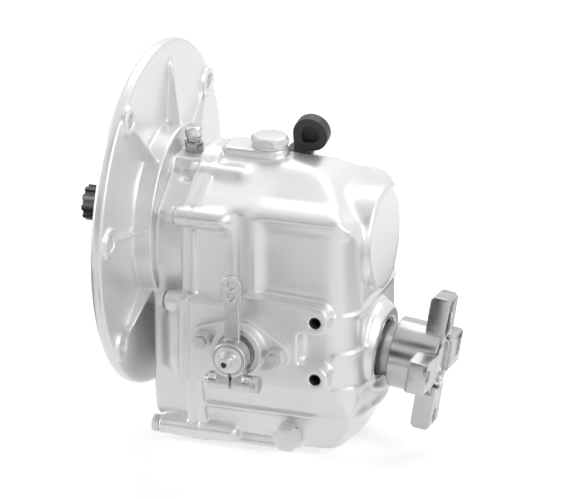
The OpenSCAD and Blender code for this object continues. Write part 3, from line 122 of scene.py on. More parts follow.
def seen_rays(tree):
    """One for camera, glossy and transmission rays, and nought for the rest."""
    path = tree.nodes.new("ShaderNodeLightPath")
    first = tree.nodes.new("ShaderNodeMath")
    first.operation = "MAXIMUM"
    second = tree.nodes.new("ShaderNodeMath")
    second.operation = "MAXIMUM"
    tree.links.new(path.outputs["Is Camera Ray"], first.inputs[0])
    tree.links.new(path.outputs["Is Glossy Ray"], first.inputs[1])
    tree.links.new(first.outputs[0], second.inputs[0])
    tree.links.new(path.outputs["Is Transmission Ray"], second.inputs[1])
    return second.outputs[0]


def new_finish(name):
    """A material that holds one Principled surface and its output."""
    material = bpy.data.materials.new(name)
    material.use_nodes = True
    tree = material.node_tree
    tree.nodes.clear()
    out = tree.nodes.new("ShaderNodeOutputMaterial")
    surface = tree.nodes.new("ShaderNodeBsdfPrincipled")
    tree.links.new(surface.outputs["BSDF"], out.inputs["Surface"])
    return material, tree, surface


def link_object(name, mesh):
    """Puts a mesh into the scene as a new object."""
    made = bpy.data.objects.new(name, mesh)
    bpy.context.scene.collection.objects.link(made)
    return made


floor_sheet = bmesh.new()
bmesh.ops.create_grid(floor_sheet, x_segments=FLOOR_CELLS, y_segments=FLOOR_CELLS, size=FLOOR_HALF)
floor_mesh = bpy.data.meshes.new("studio_floor")
floor_sheet.to_mesh(floor_mesh)
floor_sheet.free()
floor = link_object("studio_floor", floor_mesh)
floor.location = (0, 0, cad_low.z - FLOOR_GAP)
paper, tree, surface = new_finish("white_paper")
surface.inputs["Base Color"].default_value = PAPER_COLOUR
surface.inputs["Roughness"].default_value = DULL
surface.inputs["Specular IOR Level"].default_value = 0.1
surface.inputs["Emission Color"].default_value = PURE_WHITE
lift = tree.nodes.new("ShaderNodeMath")
lift.operation = "MULTIPLY"
lift.inputs[1].default_value = FLOOR_LIFT
tree.links.new(seen_rays(tree), lift.inputs[0])
tree.links.new(lift.outputs[0], surface.inputs["Emission Strength"])
floor_mesh.materials.append(paper)
floor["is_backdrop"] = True
print("floor", 2 * FLOOR_HALF, "m wide at", round(1000 * floor.location.z, 2), "mm")

# %% Soft boxes and the room's own light
ROOM_LIGHT = 0.20


def soft_box(name, place, width, height, watts):
    """A rectangular lamp that looks at the gearbox."""
    lamp = bpy.data.lights.new(name, "AREA")
    lamp.shape = "RECTANGLE"
    lamp.size = width
    lamp.size_y = height
    lamp.energy = watts
    box = bpy.data.objects.new(name, lamp)
    box.location = place
    box.rotation_euler = (Vector(place) - AIM).to_track_quat("Z", "Y").to_euler()
    bpy.context.scene.collection.objects.link(box)


soft_box("overhead_box", (0.1, 1.25, 1.8), width=2.4, height=1.3, watts=20)
soft_box("left_box", (-1.9, -0.75, 0.75), width=0.5, height=0.9, watts=19)
soft_box("right_box", (1.8, -0.35, 0.9), width=0.7, height=1.1, watts=13)

room = bpy.data.worlds.new("studio_room")
room.use_nodes = True
room_tree = room.node_tree
room_tree.nodes.clear()
room_out = room_tree.nodes.new("ShaderNodeOutputWorld")
room_light = room_tree.nodes.new("ShaderNodeBackground")
room_light.inputs["Color"].default_value = PURE_WHITE
room_light.inputs["Strength"].default_value = ROOM_LIGHT
room_white = room_tree.nodes.new("ShaderNodeBackground")
room_white.inputs["Color"].default_value = PURE_WHITE
room_mix = room_tree.nodes.new("ShaderNodeMixShader")
room_tree.links.new(seen_rays(room_tree), room_mix.inputs["Fac"])
room_tree.links.new(room_light.outputs[0], room_mix.inputs[1])
room_tree.links.new(room_white.outputs[0], room_mix.inputs[2])
room_tree.links.new(room_mix.outputs[0], room_out.inputs["Surface"])
bpy.context.scene.world = room

# %% [markdown]
# ## Dark cards for the metal
# Bright metal has no colour of its own: it shows the room. In an all-white room it would look like
# paper, so photographers stand black cards beside the set, out of the picture. Ours are seen by
# mirror rays only: they put dark bands into steel and chrome, deepen the pearl on the upright walls, and
# take no light from the set.

# %% Cards in front of the set, above it and on the floor
FLOOR_CARD_LIFT = 0.004
card_black, tree, surface = new_finish("card_black")
surface.inputs["Base Color"].default_value = (0.012, 0.012, 0.012, 1)
surface.inputs["Roughness"].default_value = DULL
surface.inputs["Specular IOR Level"].default_value = 0.0


def dark_card(name, place, width, height):
    """A black board that looks at the gearbox and shows up only in reflections."""
    x, y = width / 2, height / 2
    mesh = bpy.data.meshes.new(name)
    mesh.from_pydata([(-x, -y, 0), (x, -y, 0), (x, y, 0), (-x, y, 0)], [], [(0, 1, 2, 3)])
    card = link_object(name, mesh)
    card.location = place
    card.rotation_euler = (AIM - Vector(place)).to_track_quat("-Z", "Y").to_euler()
    card.visible_camera = False
    card.visible_diffuse = False
    card.visible_shadow = False
    mesh.materials.append(card_black)
    card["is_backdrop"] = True
    return card


def floor_card(name, low, high):
    """A black board that lies on the floor between two corners."""
    middle = ((low[0] + high[0]) / 2, (low[1] + high[1]) / 2, cad_low.z + FLOOR_CARD_LIFT)
    card = dark_card(name, middle, high[0] - low[0], high[1] - low[1])
    card.rotation_euler = (0, 0, 0)


dark_card("front_card", (-0.75, -2.9, 0.75), width=2.6, height=1.1)
floor_card("near_floor_card", low=(-0.02, -0.38), high=(0.10, -0.24))
floor_card("far_floor_card", low=(-0.25, 0.17), high=(0.27, 0.40))
floor_card("engine_floor_card", low=(-0.60, -0.40), high=(-0.12, 0.40))
floor_card("shaft_floor_card", low=(0.45, -0.35), high=(0.85, 0.15))
dark_card("roof_card", (0.2, -1.4, 2.0), width=1.6, height=0.7)

# %% [markdown]
# ## Effects that several finishes share
# Sand leaves a swell and a grain in a casting, and the paint over it keeps both. Handling leaves faint
# smears on bare metal, a lathe leaves fine rings, and edges are rubbed bright. Each of these is built
# once as a node group, and each finish places it with its own values. The groups only put out numbers,
# and the Principled surface stays in the finish, where the export can read it.

# %% A helper for node groups, and the cast skin
def new_effect(name, inputs, outputs):
    """An empty node group with named sockets. inputs maps a name to (socket type, default value)."""
    group = bpy.data.node_groups.new(name, "ShaderNodeTree")
    for socket, (kind, value) in inputs.items():
        made = group.interface.new_socket(socket, in_out="INPUT", socket_type=kind)
        made.default_value = value
    for socket in outputs:
        group.interface.new_socket(socket, in_out="OUTPUT", socket_type="NodeSocketFloat")
    return group, group.nodes.new("NodeGroupInput"), group.nodes.new("NodeGroupOutput")


def sum_up(tree, operation, first, second):
    """One Math node. An input is a socket or a number."""
    node = tree.nodes.new("ShaderNodeMath")
    node.operation = operation
    for place, value in enumerate((first, second)):
        if isinstance(value, (int, float)):
            node.inputs[place].default_value = value
        else:
            tree.links.new(value, node.inputs[place])
    return node.outputs[0]


def noise(tree, scale, detail=2.0, roughness=0.5):
    """Noise on the piece's own coordinates. scale is a socket or a number, per metre."""
    where = tree.nodes.new("ShaderNodeTexCoord")
    made = tree.nodes.new("ShaderNodeTexNoise")
    made.inputs["Detail"].default_value = detail
    made.inputs["Roughness"].default_value = roughness
    tree.links.new(where.outputs["Object"], made.inputs["Vector"])
    if isinstance(scale, (int, float)):
        made.inputs["Scale"].default_value = scale
    else:
        tree.links.new(scale, made.inputs["Scale"])
    return made.outputs["Fac"]


FLOAT = "NodeSocketFloat"
cast_skin, given, put = new_effect(
    "cast_skin",
    {"Swell Scale": (FLOAT, 120.0), "Grain Scale": (FLOAT, 900.0), "Grain Share": (FLOAT, 0.3)},
    ["Height", "Tone"],
)
swell = noise(cast_skin, given.outputs["Swell Scale"], detail=1.5)
grain = noise(cast_skin, given.outputs["Grain Scale"], detail=3.0)
grain_part = sum_up(cast_skin, "MULTIPLY", grain, given.outputs["Grain Share"])
cast_skin.links.new(sum_up(cast_skin, "ADD", swell, grain_part), put.inputs["Height"])
cast_skin.links.new(noise(cast_skin, 14.0, detail=3.0), put.inputs["Tone"])
print("effect:", cast_skin.name)

# %% Smears, rubbed edges and turning rings
handling, given, put = new_effect("handling_smears", {"Scale": (FLOAT, 60.0)}, ["Smear"])
smear = noise(handling, given.outputs["Scale"], detail=6.0, roughness=0.62)
handling.links.new(smear, put.inputs["Smear"])

rubbed, given, put = new_effect(
    "rubbed_edges", {"Start": (FLOAT, 0.52), "End": (FLOAT, 0.62)}, ["Rub"]
)
shape = rubbed.nodes.new("ShaderNodeNewGeometry")
ramp = rubbed.nodes.new("ShaderNodeMapRange")
rubbed.links.new(shape.outputs["Pointiness"], ramp.inputs["Value"])
rubbed.links.new(given.outputs["Start"], ramp.inputs["From Min"])
rubbed.links.new(given.outputs["End"], ramp.inputs["From Max"])
rubbed.links.new(ramp.outputs["Result"], put.inputs["Rub"])

VECTOR = "NodeSocketVector"
turned, given, put = new_effect(
    "turning_rings",
    {"Centre": (VECTOR, (0, 0, 0)), "Tilt": (FLOAT, 0.0), "Rings per Metre": (FLOAT, 2500.0)},
    ["Height"],
)
where = turned.nodes.new("ShaderNodeTexCoord")
level = turned.nodes.new("ShaderNodeVectorRotate")
level.rotation_type = "Y_AXIS"
turned.links.new(where.outputs["Object"], level.inputs["Vector"])
turned.links.new(given.outputs["Centre"], level.inputs["Center"])
turned.links.new(given.outputs["Tilt"], level.inputs["Angle"])
offset = turned.nodes.new("ShaderNodeVectorMath")
offset.operation = "SUBTRACT"
turned.links.new(level.outputs["Vector"], offset.inputs[0])
turned.links.new(given.outputs["Centre"], offset.inputs[1])
parts = turned.nodes.new("ShaderNodeSeparateXYZ")
turned.links.new(offset.outputs[0], parts.inputs[0])
across = sum_up(turned, "MULTIPLY", parts.outputs["Y"], parts.outputs["Y"])
upward = sum_up(turned, "MULTIPLY", parts.outputs["Z"], parts.outputs["Z"])
radius = sum_up(turned, "POWER", sum_up(turned, "ADD", across, upward), 0.5)
run = sum_up(turned, "ADD", radius, parts.outputs["X"])
phase = sum_up(turned, "MULTIPLY", run, given.outputs["Rings per Metre"])
wave = sum_up(turned, "SINE", sum_up(turned, "MULTIPLY", phase, 2 * math.pi), 0.0)
half = sum_up(turned, "MULTIPLY", wave, 0.5)
turned.links.new(sum_up(turned, "ADD", half, 0.5), put.inputs["Height"])
print("effects:", handling.name, rubbed.name, turned.name)

# %% Tools that join an effect to a finish
def place_effect(tree, effect, **values):
    """Puts a node group into a finish. Words in a value's name are joined with an underscore."""
    node = tree.nodes.new("ShaderNodeGroup")
    node.node_tree = effect
    for name, value in values.items():
        node.inputs[name.replace("_", " ").title().replace("Per", "per")].default_value = value
    return node


def two_tones(tree, mask, low, high):
    """A colour between low and high, by a mask."""
    mix = tree.nodes.new("ShaderNodeMix")
    mix.data_type = "RGBA"
    colours = [s for s in mix.inputs if s.type == "RGBA"]
    colours[0].default_value = (*low, 1)
    colours[1].default_value = (*high, 1)
    tree.links.new(mask, mix.inputs["Factor"])
    return next(s for s in mix.outputs if s.type == "RGBA")


def span(tree, mask, low, high):
    """A number between low and high, by a mask."""
    node = tree.nodes.new("ShaderNodeMapRange")
    node.inputs["To Min"].default_value = low
    node.inputs["To Max"].default_value = high
    tree.links.new(mask, node.inputs["Value"])
    return node.outputs["Result"]


def raise_bumps(tree, surface, height, depth, strength=1.0):
    """Relief on the surface. depth is in metres."""
    bump = tree.nodes.new("ShaderNodeBump")
    bump.inputs["Distance"].default_value = depth
    bump.inputs["Strength"].default_value = strength
    tree.links.new(height, bump.inputs["Height"])
    tree.links.new(bump.outputs["Normal"], surface.inputs["Normal"])


print("effects ready:", [group.name for group in bpy.data.node_groups])

# %% [markdown]
# ## White marine paint
# The casing is an aluminium casting, sprayed with thick gloss white after it was put together, so the
# joint, the bolt heads and the plugs are white too. It is a pearly white: fine flakes in it act as tiny
# mirrors, so a curve goes from grey to bright white as it turns to a lamp, where plain white paint would
# stay chalky. Part of the surface is therefore metal in Blender's terms, under a thin clear coat. The
# sand's swell under the paint bends each reflection a little.

# %% Paint on the castings and thinner paint on the fasteners
PAINT_ROUGHNESS = (0.33, 0.41)
COAT_ROUGHNESS = 0.1
FLAKES = 0.5


def white_paint(name, low, high, swell_depth, coat):
    """Pearl paint between two whites. swell_depth is the sand's swell under it, in metres."""
    material, tree, surface = new_finish(name)
    skin = place_effect(tree, cast_skin, swell_scale=110.0, grain_scale=1100.0, grain_share=0.12)
    tree.links.new(two_tones(tree, skin.outputs["Tone"], low, high), surface.inputs["Base Color"])
    tree.links.new(span(tree, skin.outputs["Tone"], *PAINT_ROUGHNESS), surface.inputs["Roughness"])
    surface.inputs["Metallic"].default_value = FLAKES
    surface.inputs["Coat Weight"].default_value = coat
    surface.inputs["Coat Roughness"].default_value = COAT_ROUGHNESS
    raise_bumps(tree, surface, skin.outputs["Height"], swell_depth)
    return material


casing_paint = white_paint(
    "pearl_white_casting", (0.83, 0.833, 0.836), (0.88, 0.882, 0.882), swell_depth=0.00016, coat=0.4
)
fastener_paint = white_paint(
    "thin_white_on_steel", (0.74, 0.745, 0.75), (0.82, 0.82, 0.82), swell_depth=0.00006, coat=0.3
)
print("paints:", casing_paint.name, fastener_paint.name)

# %% [markdown]
# ## Bare metals
# The lever and its bolt are zinc plated, which is a pale, slightly sparkling grey. The coupling is
# turned and milled steel, bright enough to mirror the room. The breather cap is chromed. The shafts
# and gears are ground steel, the splines are dark and oily, and the bushes are bronze. The colour does
# little in a metal: roughness and fine relief make the difference, so each gets its own.

# %% Zinc plate
ZINC_ROUGHNESS = (0.22, 0.36)
ZINC_MOTTLE_SCALE = 420.0
EDGE_SHINE = 0.4


def zinc_plate(name, low, high, depth):
    """Mottled plating between two greys, brighter on rubbed edges. depth is its relief, in metres."""
    material, tree, surface = new_finish(name)
    skin = place_effect(tree, cast_skin, swell_scale=900.0, grain_scale=2600.0, grain_share=0.6)
    edge = place_effect(tree, rubbed, start=0.5, end=0.6)
    shine = sum_up(tree, "MULTIPLY", edge.outputs[0], EDGE_SHINE)
    mottle = sum_up(tree, "ADD", noise(tree, ZINC_MOTTLE_SCALE, detail=4.0), shine)
    tree.links.new(two_tones(tree, mottle, low, high), surface.inputs["Base Color"])
    tree.links.new(span(tree, skin.outputs["Tone"], *ZINC_ROUGHNESS), surface.inputs["Roughness"])
    surface.inputs["Metallic"].default_value = 1.0
    raise_bumps(tree, surface, skin.outputs["Height"], depth)
    return material


lever_zinc = zinc_plate("zinc_on_forged_lever", (0.48, 0.485, 0.49), (0.68, 0.68, 0.675), depth=0.00006)
bolt_zinc = zinc_plate("zinc_on_bolt", (0.42, 0.425, 0.43), (0.60, 0.60, 0.595), depth=0.00005)
print("zinc:", lever_zinc.name, bolt_zinc.name)

# %% Turned steel, chrome and bronze
OUTPUT_TILT = math.radians(7)
INPUT_LINE = ((0, 0, 0), 0.0)
OUTPUT_LINE = (Vector((0.092, 0.0, -0.0745)), -OUTPUT_TILT)
BREATHER_LINE = ((0.032, 0, 0), 0.0)
SMEAR_SCALE = 45.0
SMEAR_SHINE = 1.12
RING_DEPTH = 0.00002
RING_STRENGTH = 0.6


def turned_steel(name, colour, roughness, line, rings, grit=0.0):
    """Metal off a lathe, with so many rings per metre about a line (a point and its tilt).

    grit adds the specks of a dull mill cut to the rings, as a share of their height.
    """
    material, tree, surface = new_finish(name)
    centre, tilt = line
    rings_node = place_effect(tree, turned, centre=centre, tilt=tilt, rings_per_metre=rings)
    smears = place_effect(tree, handling, scale=SMEAR_SCALE)
    light = tuple(min(1.0, c * SMEAR_SHINE) for c in colour)
    tree.links.new(two_tones(tree, smears.outputs[0], colour, light), surface.inputs["Base Color"])
    tree.links.new(span(tree, smears.outputs[0], *roughness), surface.inputs["Roughness"])
    surface.inputs["Metallic"].default_value = 1.0
    skin = place_effect(tree, cast_skin, swell_scale=1400.0, grain_scale=3200.0, grain_share=0.8)
    specks = sum_up(tree, "MULTIPLY", skin.outputs["Height"], grit)
    relief = sum_up(tree, "ADD", rings_node.outputs["Height"], specks)
    raise_bumps(tree, surface, relief, RING_DEPTH, RING_STRENGTH)
    return material


coupling_steel = turned_steel(
    "bright_coupling_steel", (0.46, 0.46, 0.455), (0.16, 0.3), OUTPUT_LINE, 1600.0, grit=2.0
)
shaft_steel = turned_steel("ground_shaft_steel", (0.52, 0.52, 0.52), (0.14, 0.3), INPUT_LINE, 2200.0)
spline_steel = turned_steel("oiled_spline_steel", (0.10, 0.10, 0.105), (0.24, 0.42), INPUT_LINE, 2200.0)
seal_steel = turned_steel("hardened_gear_steel", (0.34, 0.34, 0.35), (0.22, 0.4), OUTPUT_LINE, 1800.0)
satin_steel = turned_steel("satin_shaft_steel", (0.62, 0.62, 0.615), (0.3, 0.42), INPUT_LINE, 2200.0)
breather_chrome = turned_steel("chrome_plate", (0.62, 0.63, 0.64), (0.08, 0.15), BREATHER_LINE, 3600.0)
breather_plate = turned_steel("dark_plated_base", (0.42, 0.42, 0.425), (0.2, 0.34), BREATHER_LINE, 1800.0)
bush_bronze = turned_steel("oiled_bronze", (0.50, 0.33, 0.15), (0.22, 0.38), OUTPUT_LINE, 1800.0)
print("metals:", [m.name for m in bpy.data.materials if "steel" in m.name])

# %% [markdown]
# ## Rubber, moulded plastic and painted shade in the threads
# Seals are black nitrile rubber, and the dipstick's handle is moulded from dark grey plastic with the fine
# matt texture of an eroded mould. The bracket's threads are coloured near black, as painted shade for the
# dark inside of their holes. All three are dull, so their grain carries the look. The gaskets' edges were
# sprayed with the casing and take its paint.

# %% The dull finishes
def dull_finish(name, low, high, roughness, grain_scale, depth):
    """A grained finish between two colours. depth is its relief, in metres."""
    material, tree, surface = new_finish(name)
    skin = place_effect(tree, cast_skin, swell_scale=300.0, grain_scale=grain_scale, grain_share=0.8)
    tree.links.new(two_tones(tree, skin.outputs["Tone"], low, high), surface.inputs["Base Color"])
    tree.links.new(span(tree, skin.outputs["Tone"], *roughness), surface.inputs["Roughness"])
    raise_bumps(tree, surface, skin.outputs["Height"], depth)
    return material


seal_rubber = dull_finish(
    "nitrile_rubber", (0.012, 0.012, 0.013), (0.03, 0.03, 0.032), (0.45, 0.65), 1500.0, depth=0.00003
)
handle_plastic = dull_finish(
    "grained_dark_plastic", (0.035, 0.036, 0.038), (0.055, 0.056, 0.058), (0.38, 0.5), 3200.0, depth=0.00004
)
# Painted shade: a near-black thread colour that stands in for the shade inside the bracket holes.
thread_painted_shade = dull_finish(
    "painted_shade_in_threads", (0.008, 0.008, 0.008), (0.02, 0.02, 0.02), (0.3, 0.5), 1500.0, depth=0.00002
)
print("dull finishes:", seal_rubber.name, handle_plastic.name, thread_painted_shade.name)

# %% Every CAD node gets its finish, by its own name or else by slot
FINISH_OF_SLOT = {
    "white_paint": casing_paint,
    "steel": shaft_steel,
    "zinc": bolt_zinc,
    "chrome": breather_chrome,
    "bronze": bush_bronze,
    "rubber": seal_rubber,
    "black_plastic": handle_plastic,
}
PAINTED_FASTENERS = (
    "filler_plug", "drain_plug", "case_bolts", "cover_nuts", "cover_studs", "filler_washer", "drain_washer"
)
FINISH_OF_NODE = {
    "shift_lever": lever_zinc,
    "output_coupling": coupling_steel,
    "coupling_nut": coupling_steel,
    "input_shaft": spline_steel,
    "shift_shaft": satin_steel,
    "breather_base": breather_plate,
    "case_gasket": casing_paint,
    "cover_gasket": casing_paint,
    "output_seal": seal_steel,
    **dict.fromkeys(PAINTED_FASTENERS, fastener_paint),
}


def finish_for(node):
    """The node's own finish, or else its slot's."""
    return FINISH_OF_NODE.get(node) or FINISH_OF_SLOT[slot_of_node[node]]


for name, node in cad_nodes.items():
    node.data.materials.clear()
    node.data.materials.append(finish_for(name))
print("finished CAD nodes:", len(cad_nodes))

# %% [markdown]
# ## From CAD faces to a casting
# A CAD solid has knife edges, and a sand casting has none: metal will not fill a sharp corner, and the
# pattern needs rounded ones to leave the sand. Bevels would fail where ribs and bosses meet at odd
# angles. Instead we rebuild the surface on an even grid of voxels and let a smoothing pass melt the
# edges, convex and concave alike. That is how the round, flowing look of a casting comes about.

# %% Copies, modifiers made permanent, and smooth shading
WELD_DISTANCE = 1e-6
MELT_FACTOR = 0.5
BROAD_PASSES = 140
ALL_SMOOTH = 180


def loose_copy(node, name):
    """The CAD node's triangles as a new object, with corners welded that the file had split."""
    source = cad_nodes[node].data
    corners = np.empty(len(source.vertices) * 3, np.float32)
    source.vertices.foreach_get("co", corners)
    faces = [tuple(p.vertices) for p in source.polygons]
    mesh = bpy.data.meshes.new(name)
    mesh.from_pydata(corners.reshape(-1, 3).tolist(), [], faces)
    work = bmesh.new()
    work.from_mesh(mesh)
    bmesh.ops.remove_doubles(work, verts=work.verts, dist=WELD_DISTANCE)
    bmesh.ops.recalc_face_normals(work, faces=work.faces)
    work.to_mesh(mesh)
    work.free()
    return link_object(name, mesh)


def settle(piece):
    """Makes the piece's modifiers permanent."""
    graph = bpy.context.evaluated_depsgraph_get()
    done = bpy.data.meshes.new_from_object(piece.evaluated_get(graph))
    piece.modifiers.clear()
    old, piece.data = piece.data, done
    done.name = piece.name
    bpy.data.meshes.remove(old)


def shade(piece, crease):
    """Smooth shading that keeps edges sharper than crease, in degrees."""
    piece.data.polygons.foreach_set("use_smooth", [True] * len(piece.data.polygons))
    piece.data.set_sharp_from_angle(angle=math.radians(crease))


def dress(piece, node):
    """The piece stands for a CAD node, in its body and with the finish of its name or slot."""
    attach(piece, body_of_node[node])
    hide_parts(node)
    piece.data.materials.clear()
    piece.data.materials.append(finish_for(node))
    print(piece.name, "stands for", node, "with", len(piece.data.polygons), "faces")


def cast_form(node, name, voxel, passes, keep, softness=None, push=None):
    """A CAD node with its edges melted as in a casting. keep is the share of faces left at the end.

    softness and push come together. push gives how far a point moves, where the pattern maker shaped
    the metal otherwise than the CAD model. softness gives a point's share of a second, much longer melt,
    for the broad round forms.
    """
    piece = loose_copy(node, name)
    grid = piece.modifiers.new("even_grid", "REMESH")
    grid.mode = "VOXEL"
    grid.voxel_size = voxel
    settle(piece)
    melt = piece.modifiers.new("melt_edges", "SMOOTH")
    melt.factor = MELT_FACTOR
    melt.iterations = passes
    if softness and push:
        settle(piece)
        for corner in piece.data.vertices:
            corner.co += push(corner.co)
        broad = piece.vertex_groups.new(name="broad_rounds")
        for corner in piece.data.vertices:
            share = softness(corner.co)
            if share > 0:
                broad.add([corner.index], share, "REPLACE")
        round_off = piece.modifiers.new("broad_rounds", "SMOOTH")
        round_off.factor = MELT_FACTOR
        round_off.iterations = BROAD_PASSES
        round_off.vertex_group = broad.name
    thin = piece.modifiers.new("fewer_faces", "DECIMATE")
    thin.ratio = keep
    settle(piece)
    shade(piece, ALL_SMOOTH)
    return piece


print("broad rounds take", BROAD_PASSES, "passes")


# %% Where the rear half melts and bows, in millimetres
FILLER_HALF_WIDTH, FILLER_REAR_X, FILLER_FOOT_Z = 19, 107, 45
JOINT_CLEAR_X, JOINT_FADE = 58, 10
LOWER_DEPTH, LOWER_FADE, LOWER_CRISPNESS = 20, 12, 0.85
CORNER_DEPTH, CORNER_DEPTH_FADE = 98, 8
CORNER_X, CORNER_X_FADE = 136, 12
PAD_TOP_Z, PAD_FOOT_Z, PAD_WALL, PAD_FADE = -26, -98, 58, 2
BULGE_DEPTH, BULGE_R, BULGE_X, BULGE_FADE = 86, 40, 158, 8
BOW_X, BOW_X_FADE = 118, 32
BOW_DEPTH, BOW_DEPTH_FADE = 106, 20
BOW_HALF_WIDTH = 62
SUMP_BOW = 0.013


def fade(value, start, length):
    """From nought to one as value goes from start to start plus length, in millimetres."""
    return min(1.0, max(0.0, (value - start) / length))


def rear_softness(place):
    """Broad rounds on the roof, shoulders and rear corners. The joint, pad, filler and seal stay crisp."""
    x, y, z = 1000 * place
    if abs(y) < FILLER_HALF_WIDTH and x < FILLER_REAR_X and z > FILLER_FOOT_Z:
        return 0.0
    share = fade(x, JOINT_CLEAR_X, JOINT_FADE)
    if z < -LOWER_DEPTH:
        corner = fade(-z, CORNER_DEPTH, CORNER_DEPTH_FADE) * fade(x, CORNER_X, CORNER_X_FADE)
        share *= 1 - LOWER_CRISPNESS * fade(-z, LOWER_DEPTH, LOWER_FADE) * (1 - corner)
    if PAD_FOOT_Z < z < PAD_TOP_Z:
        share *= 1 - fade(-y, PAD_WALL, PAD_FADE)
    if math.hypot(y, z + BULGE_DEPTH) < BULGE_R:
        share *= 1 - fade(x, BULGE_X, BULGE_FADE)
    return share


def rear_push(place):
    """The sump's rear wall bows aft between its corners, below the output bulge."""
    x, y, z = 1000 * place
    middle = max(0.0, 1 - (y / BOW_HALF_WIDTH) ** 2)
    share = fade(x, BOW_X, BOW_X_FADE) * fade(-z, BOW_DEPTH, BOW_DEPTH_FADE) * middle
    return Vector((SUMP_BOW * share, 0, 0))


print("sump bows aft by mm:", round(1000 * SUMP_BOW, 1))

# %% Where the front half melts and swells, in millimetres
RIB_STEP = math.radians(45)
RIB_TURN = math.radians(-7.5)
RIB_DRAW_IN = 0.6
RIB_ROOT_R, RIB_TIP_R, RIB_R_FADE = 58, 98, 6
RIB_HALF_WIDTH, RIB_SIDE_FADE = 3, 6
RIB_FOOT_X, RIB_FOOT_FADE = 4, 3
RIB_TOP_X, RIB_TOP_FADE = 22, 4
DRUM_X, DRUM_FADE = 26, 12
SWELL_TOP, SWELL_FOOT, SWELL_FADE = 40, 84, 14
SWELL_WALL, SWELL_WALL_FADE = 52, 3
BLEND_FACE_Y = -0.0685
BREATHER_HALF_WIDTH, BREATHER_FOOT_Z = 18, 40
DRUM_SOFTNESS, SOFT_FROM_X, SOFT_TO_X, SOFT_FADE = 0.7, 23, 31, 4


def thin_rib(x, y, z):
    """How far a point beside one of the flange's ribs moves, when the rib is drawn in to a thin fin."""
    radius = math.hypot(y, z)
    turn = math.atan2(-y, z)
    off = (turn - RIB_TURN + RIB_STEP / 2) % RIB_STEP - RIB_STEP / 2
    along = fade(radius, RIB_ROOT_R, RIB_R_FADE) * (1 - fade(radius, RIB_TIP_R, RIB_R_FADE))
    share = along * (1 - fade(abs(radius * off), RIB_HALF_WIDTH, RIB_SIDE_FADE))
    height = fade(x, RIB_FOOT_X, RIB_FOOT_FADE)
    turn -= RIB_DRAW_IN * share * height * (1 - fade(x, RIB_TOP_X, RIB_TOP_FADE)) * off
    return Vector((0, -radius * math.sin(turn) - y, radius * math.cos(turn) - z)) / 1000


def front_push(place):
    """The ribs thin out, and the drum swells to meet the side pad, so no pocket is left in front of it."""
    x, y, z = 1000 * place
    if x < DRUM_X:
        return thin_rib(x, y, z)
    share = fade(x, DRUM_X, DRUM_FADE) * fade(-z, SWELL_TOP, SWELL_FADE)
    share = share * (1 - fade(-z, SWELL_FOOT, SWELL_FADE)) * fade(-y, SWELL_WALL, SWELL_WALL_FADE)
    return Vector((0, share * min(0.0, BLEND_FACE_Y - place.y), 0))


def front_softness(place):
    """Broad rounds on the drum between the engine flange and the joint, but not under the breather."""
    x, y, z = 1000 * place
    if abs(y) < BREATHER_HALF_WIDTH and z > BREATHER_FOOT_Z:
        return 0.0
    return DRUM_SOFTNESS * fade(x, SOFT_FROM_X, SOFT_FADE) * (1 - fade(x, SOFT_TO_X, SOFT_FADE))


print("ribs drawn in by a share of", RIB_DRAW_IN)

# %% The two halves of the casing and the selector cover
CASE_VOXEL = 0.0009
CASE_KEEP = 0.25
SMALL_KEEP = 0.5
front = cast_form("front_case", "front_casting", CASE_VOXEL, 10, CASE_KEEP, front_softness, front_push)
dress(front, "front_case")
rear = cast_form("rear_case", "rear_casting", CASE_VOXEL, 8, CASE_KEEP, rear_softness, rear_push)
dress(rear, "rear_case")
dress(cast_form("selector_cover", "cover_casting", 0.0005, 6, SMALL_KEEP), "selector_cover")

# %% [markdown]
# ## Paint across the joint
# The halves were bolted together before they were sprayed, so paint bridges the edge of the gasket and no
# slit shows. The CAD gasket stops just short of the surface. We could model a drop of paint all round,
# but the gasket already follows the joint: in a copy we move its outer wall out until it is nearly level
# with the castings, and spread it sideways into their melted corners. Beside the pad the castings stand
# out further than the gasket, so a strip of paint closes the seam there.

# %% The painted joint
PAINT_REACH = 0.0007
PAINT_SPREAD = 0.0010
PAINT_CREASE = 40
WALL_LEAN = 0.3
PAD_SEAM_LOW = Vector((0.0504, -0.0693, -0.0992))
PAD_SEAM_HIGH = Vector((0.0522, -0.0600, -0.0383))


def add_strip(work, low, high):
    """A closed strip of paint between two corners."""
    made = bmesh.ops.create_cube(work, size=1)["verts"]
    for corner in made:
        for axis in range(3):
            corner.co[axis] = high[axis] if corner.co[axis] > 0 else low[axis]


def painted_joint(node, name):
    """The gasket with its outer wall moved out and spread, and the seam beside the pad closed."""
    piece = loose_copy(node, name)
    work = bmesh.new()
    work.from_mesh(piece.data)
    walls = {f for f in work.faces if abs(f.normal.x) < WALL_LEAN}
    highest = max(work.verts, key=lambda v: v.co.z)
    rim, waiting = set(), [f for f in highest.link_faces if f in walls]
    while waiting:
        face = waiting.pop()
        if face not in rim:
            rim.add(face)
            waiting += [n for e in face.edges for n in e.link_faces if n in walls]
    middle = sum(v.co.x for v in work.verts) / len(work.verts)
    moves = {}
    for corner in {v for f in rim for v in f.verts}:
        out = sum((f.normal for f in corner.link_faces if f in rim), Vector())
        out.x = 0
        side = 1 if corner.co.x > middle else -1
        moves[corner] = out.normalized() * PAINT_REACH + Vector((side * PAINT_SPREAD, 0, 0))
    for corner, move in moves.items():
        corner.co += move
    add_strip(work, PAD_SEAM_LOW, PAD_SEAM_HIGH)
    work.to_mesh(piece.data)
    work.free()
    shade(piece, PAINT_CREASE)
    dress(piece, node)
    print("joint wall moved out at", len(moves), "corners")


painted_joint("case_gasket", "painted_joint")

# %% [markdown]
# ## Small pieces with soft edges
# The dipstick's handle is moulded, the lever is forged and the breather's cap is pressed from sheet. All
# three have soft edges, and the lever's holes stand too close for clean chamfers, so they melt as the
# castings do, on finer grids.

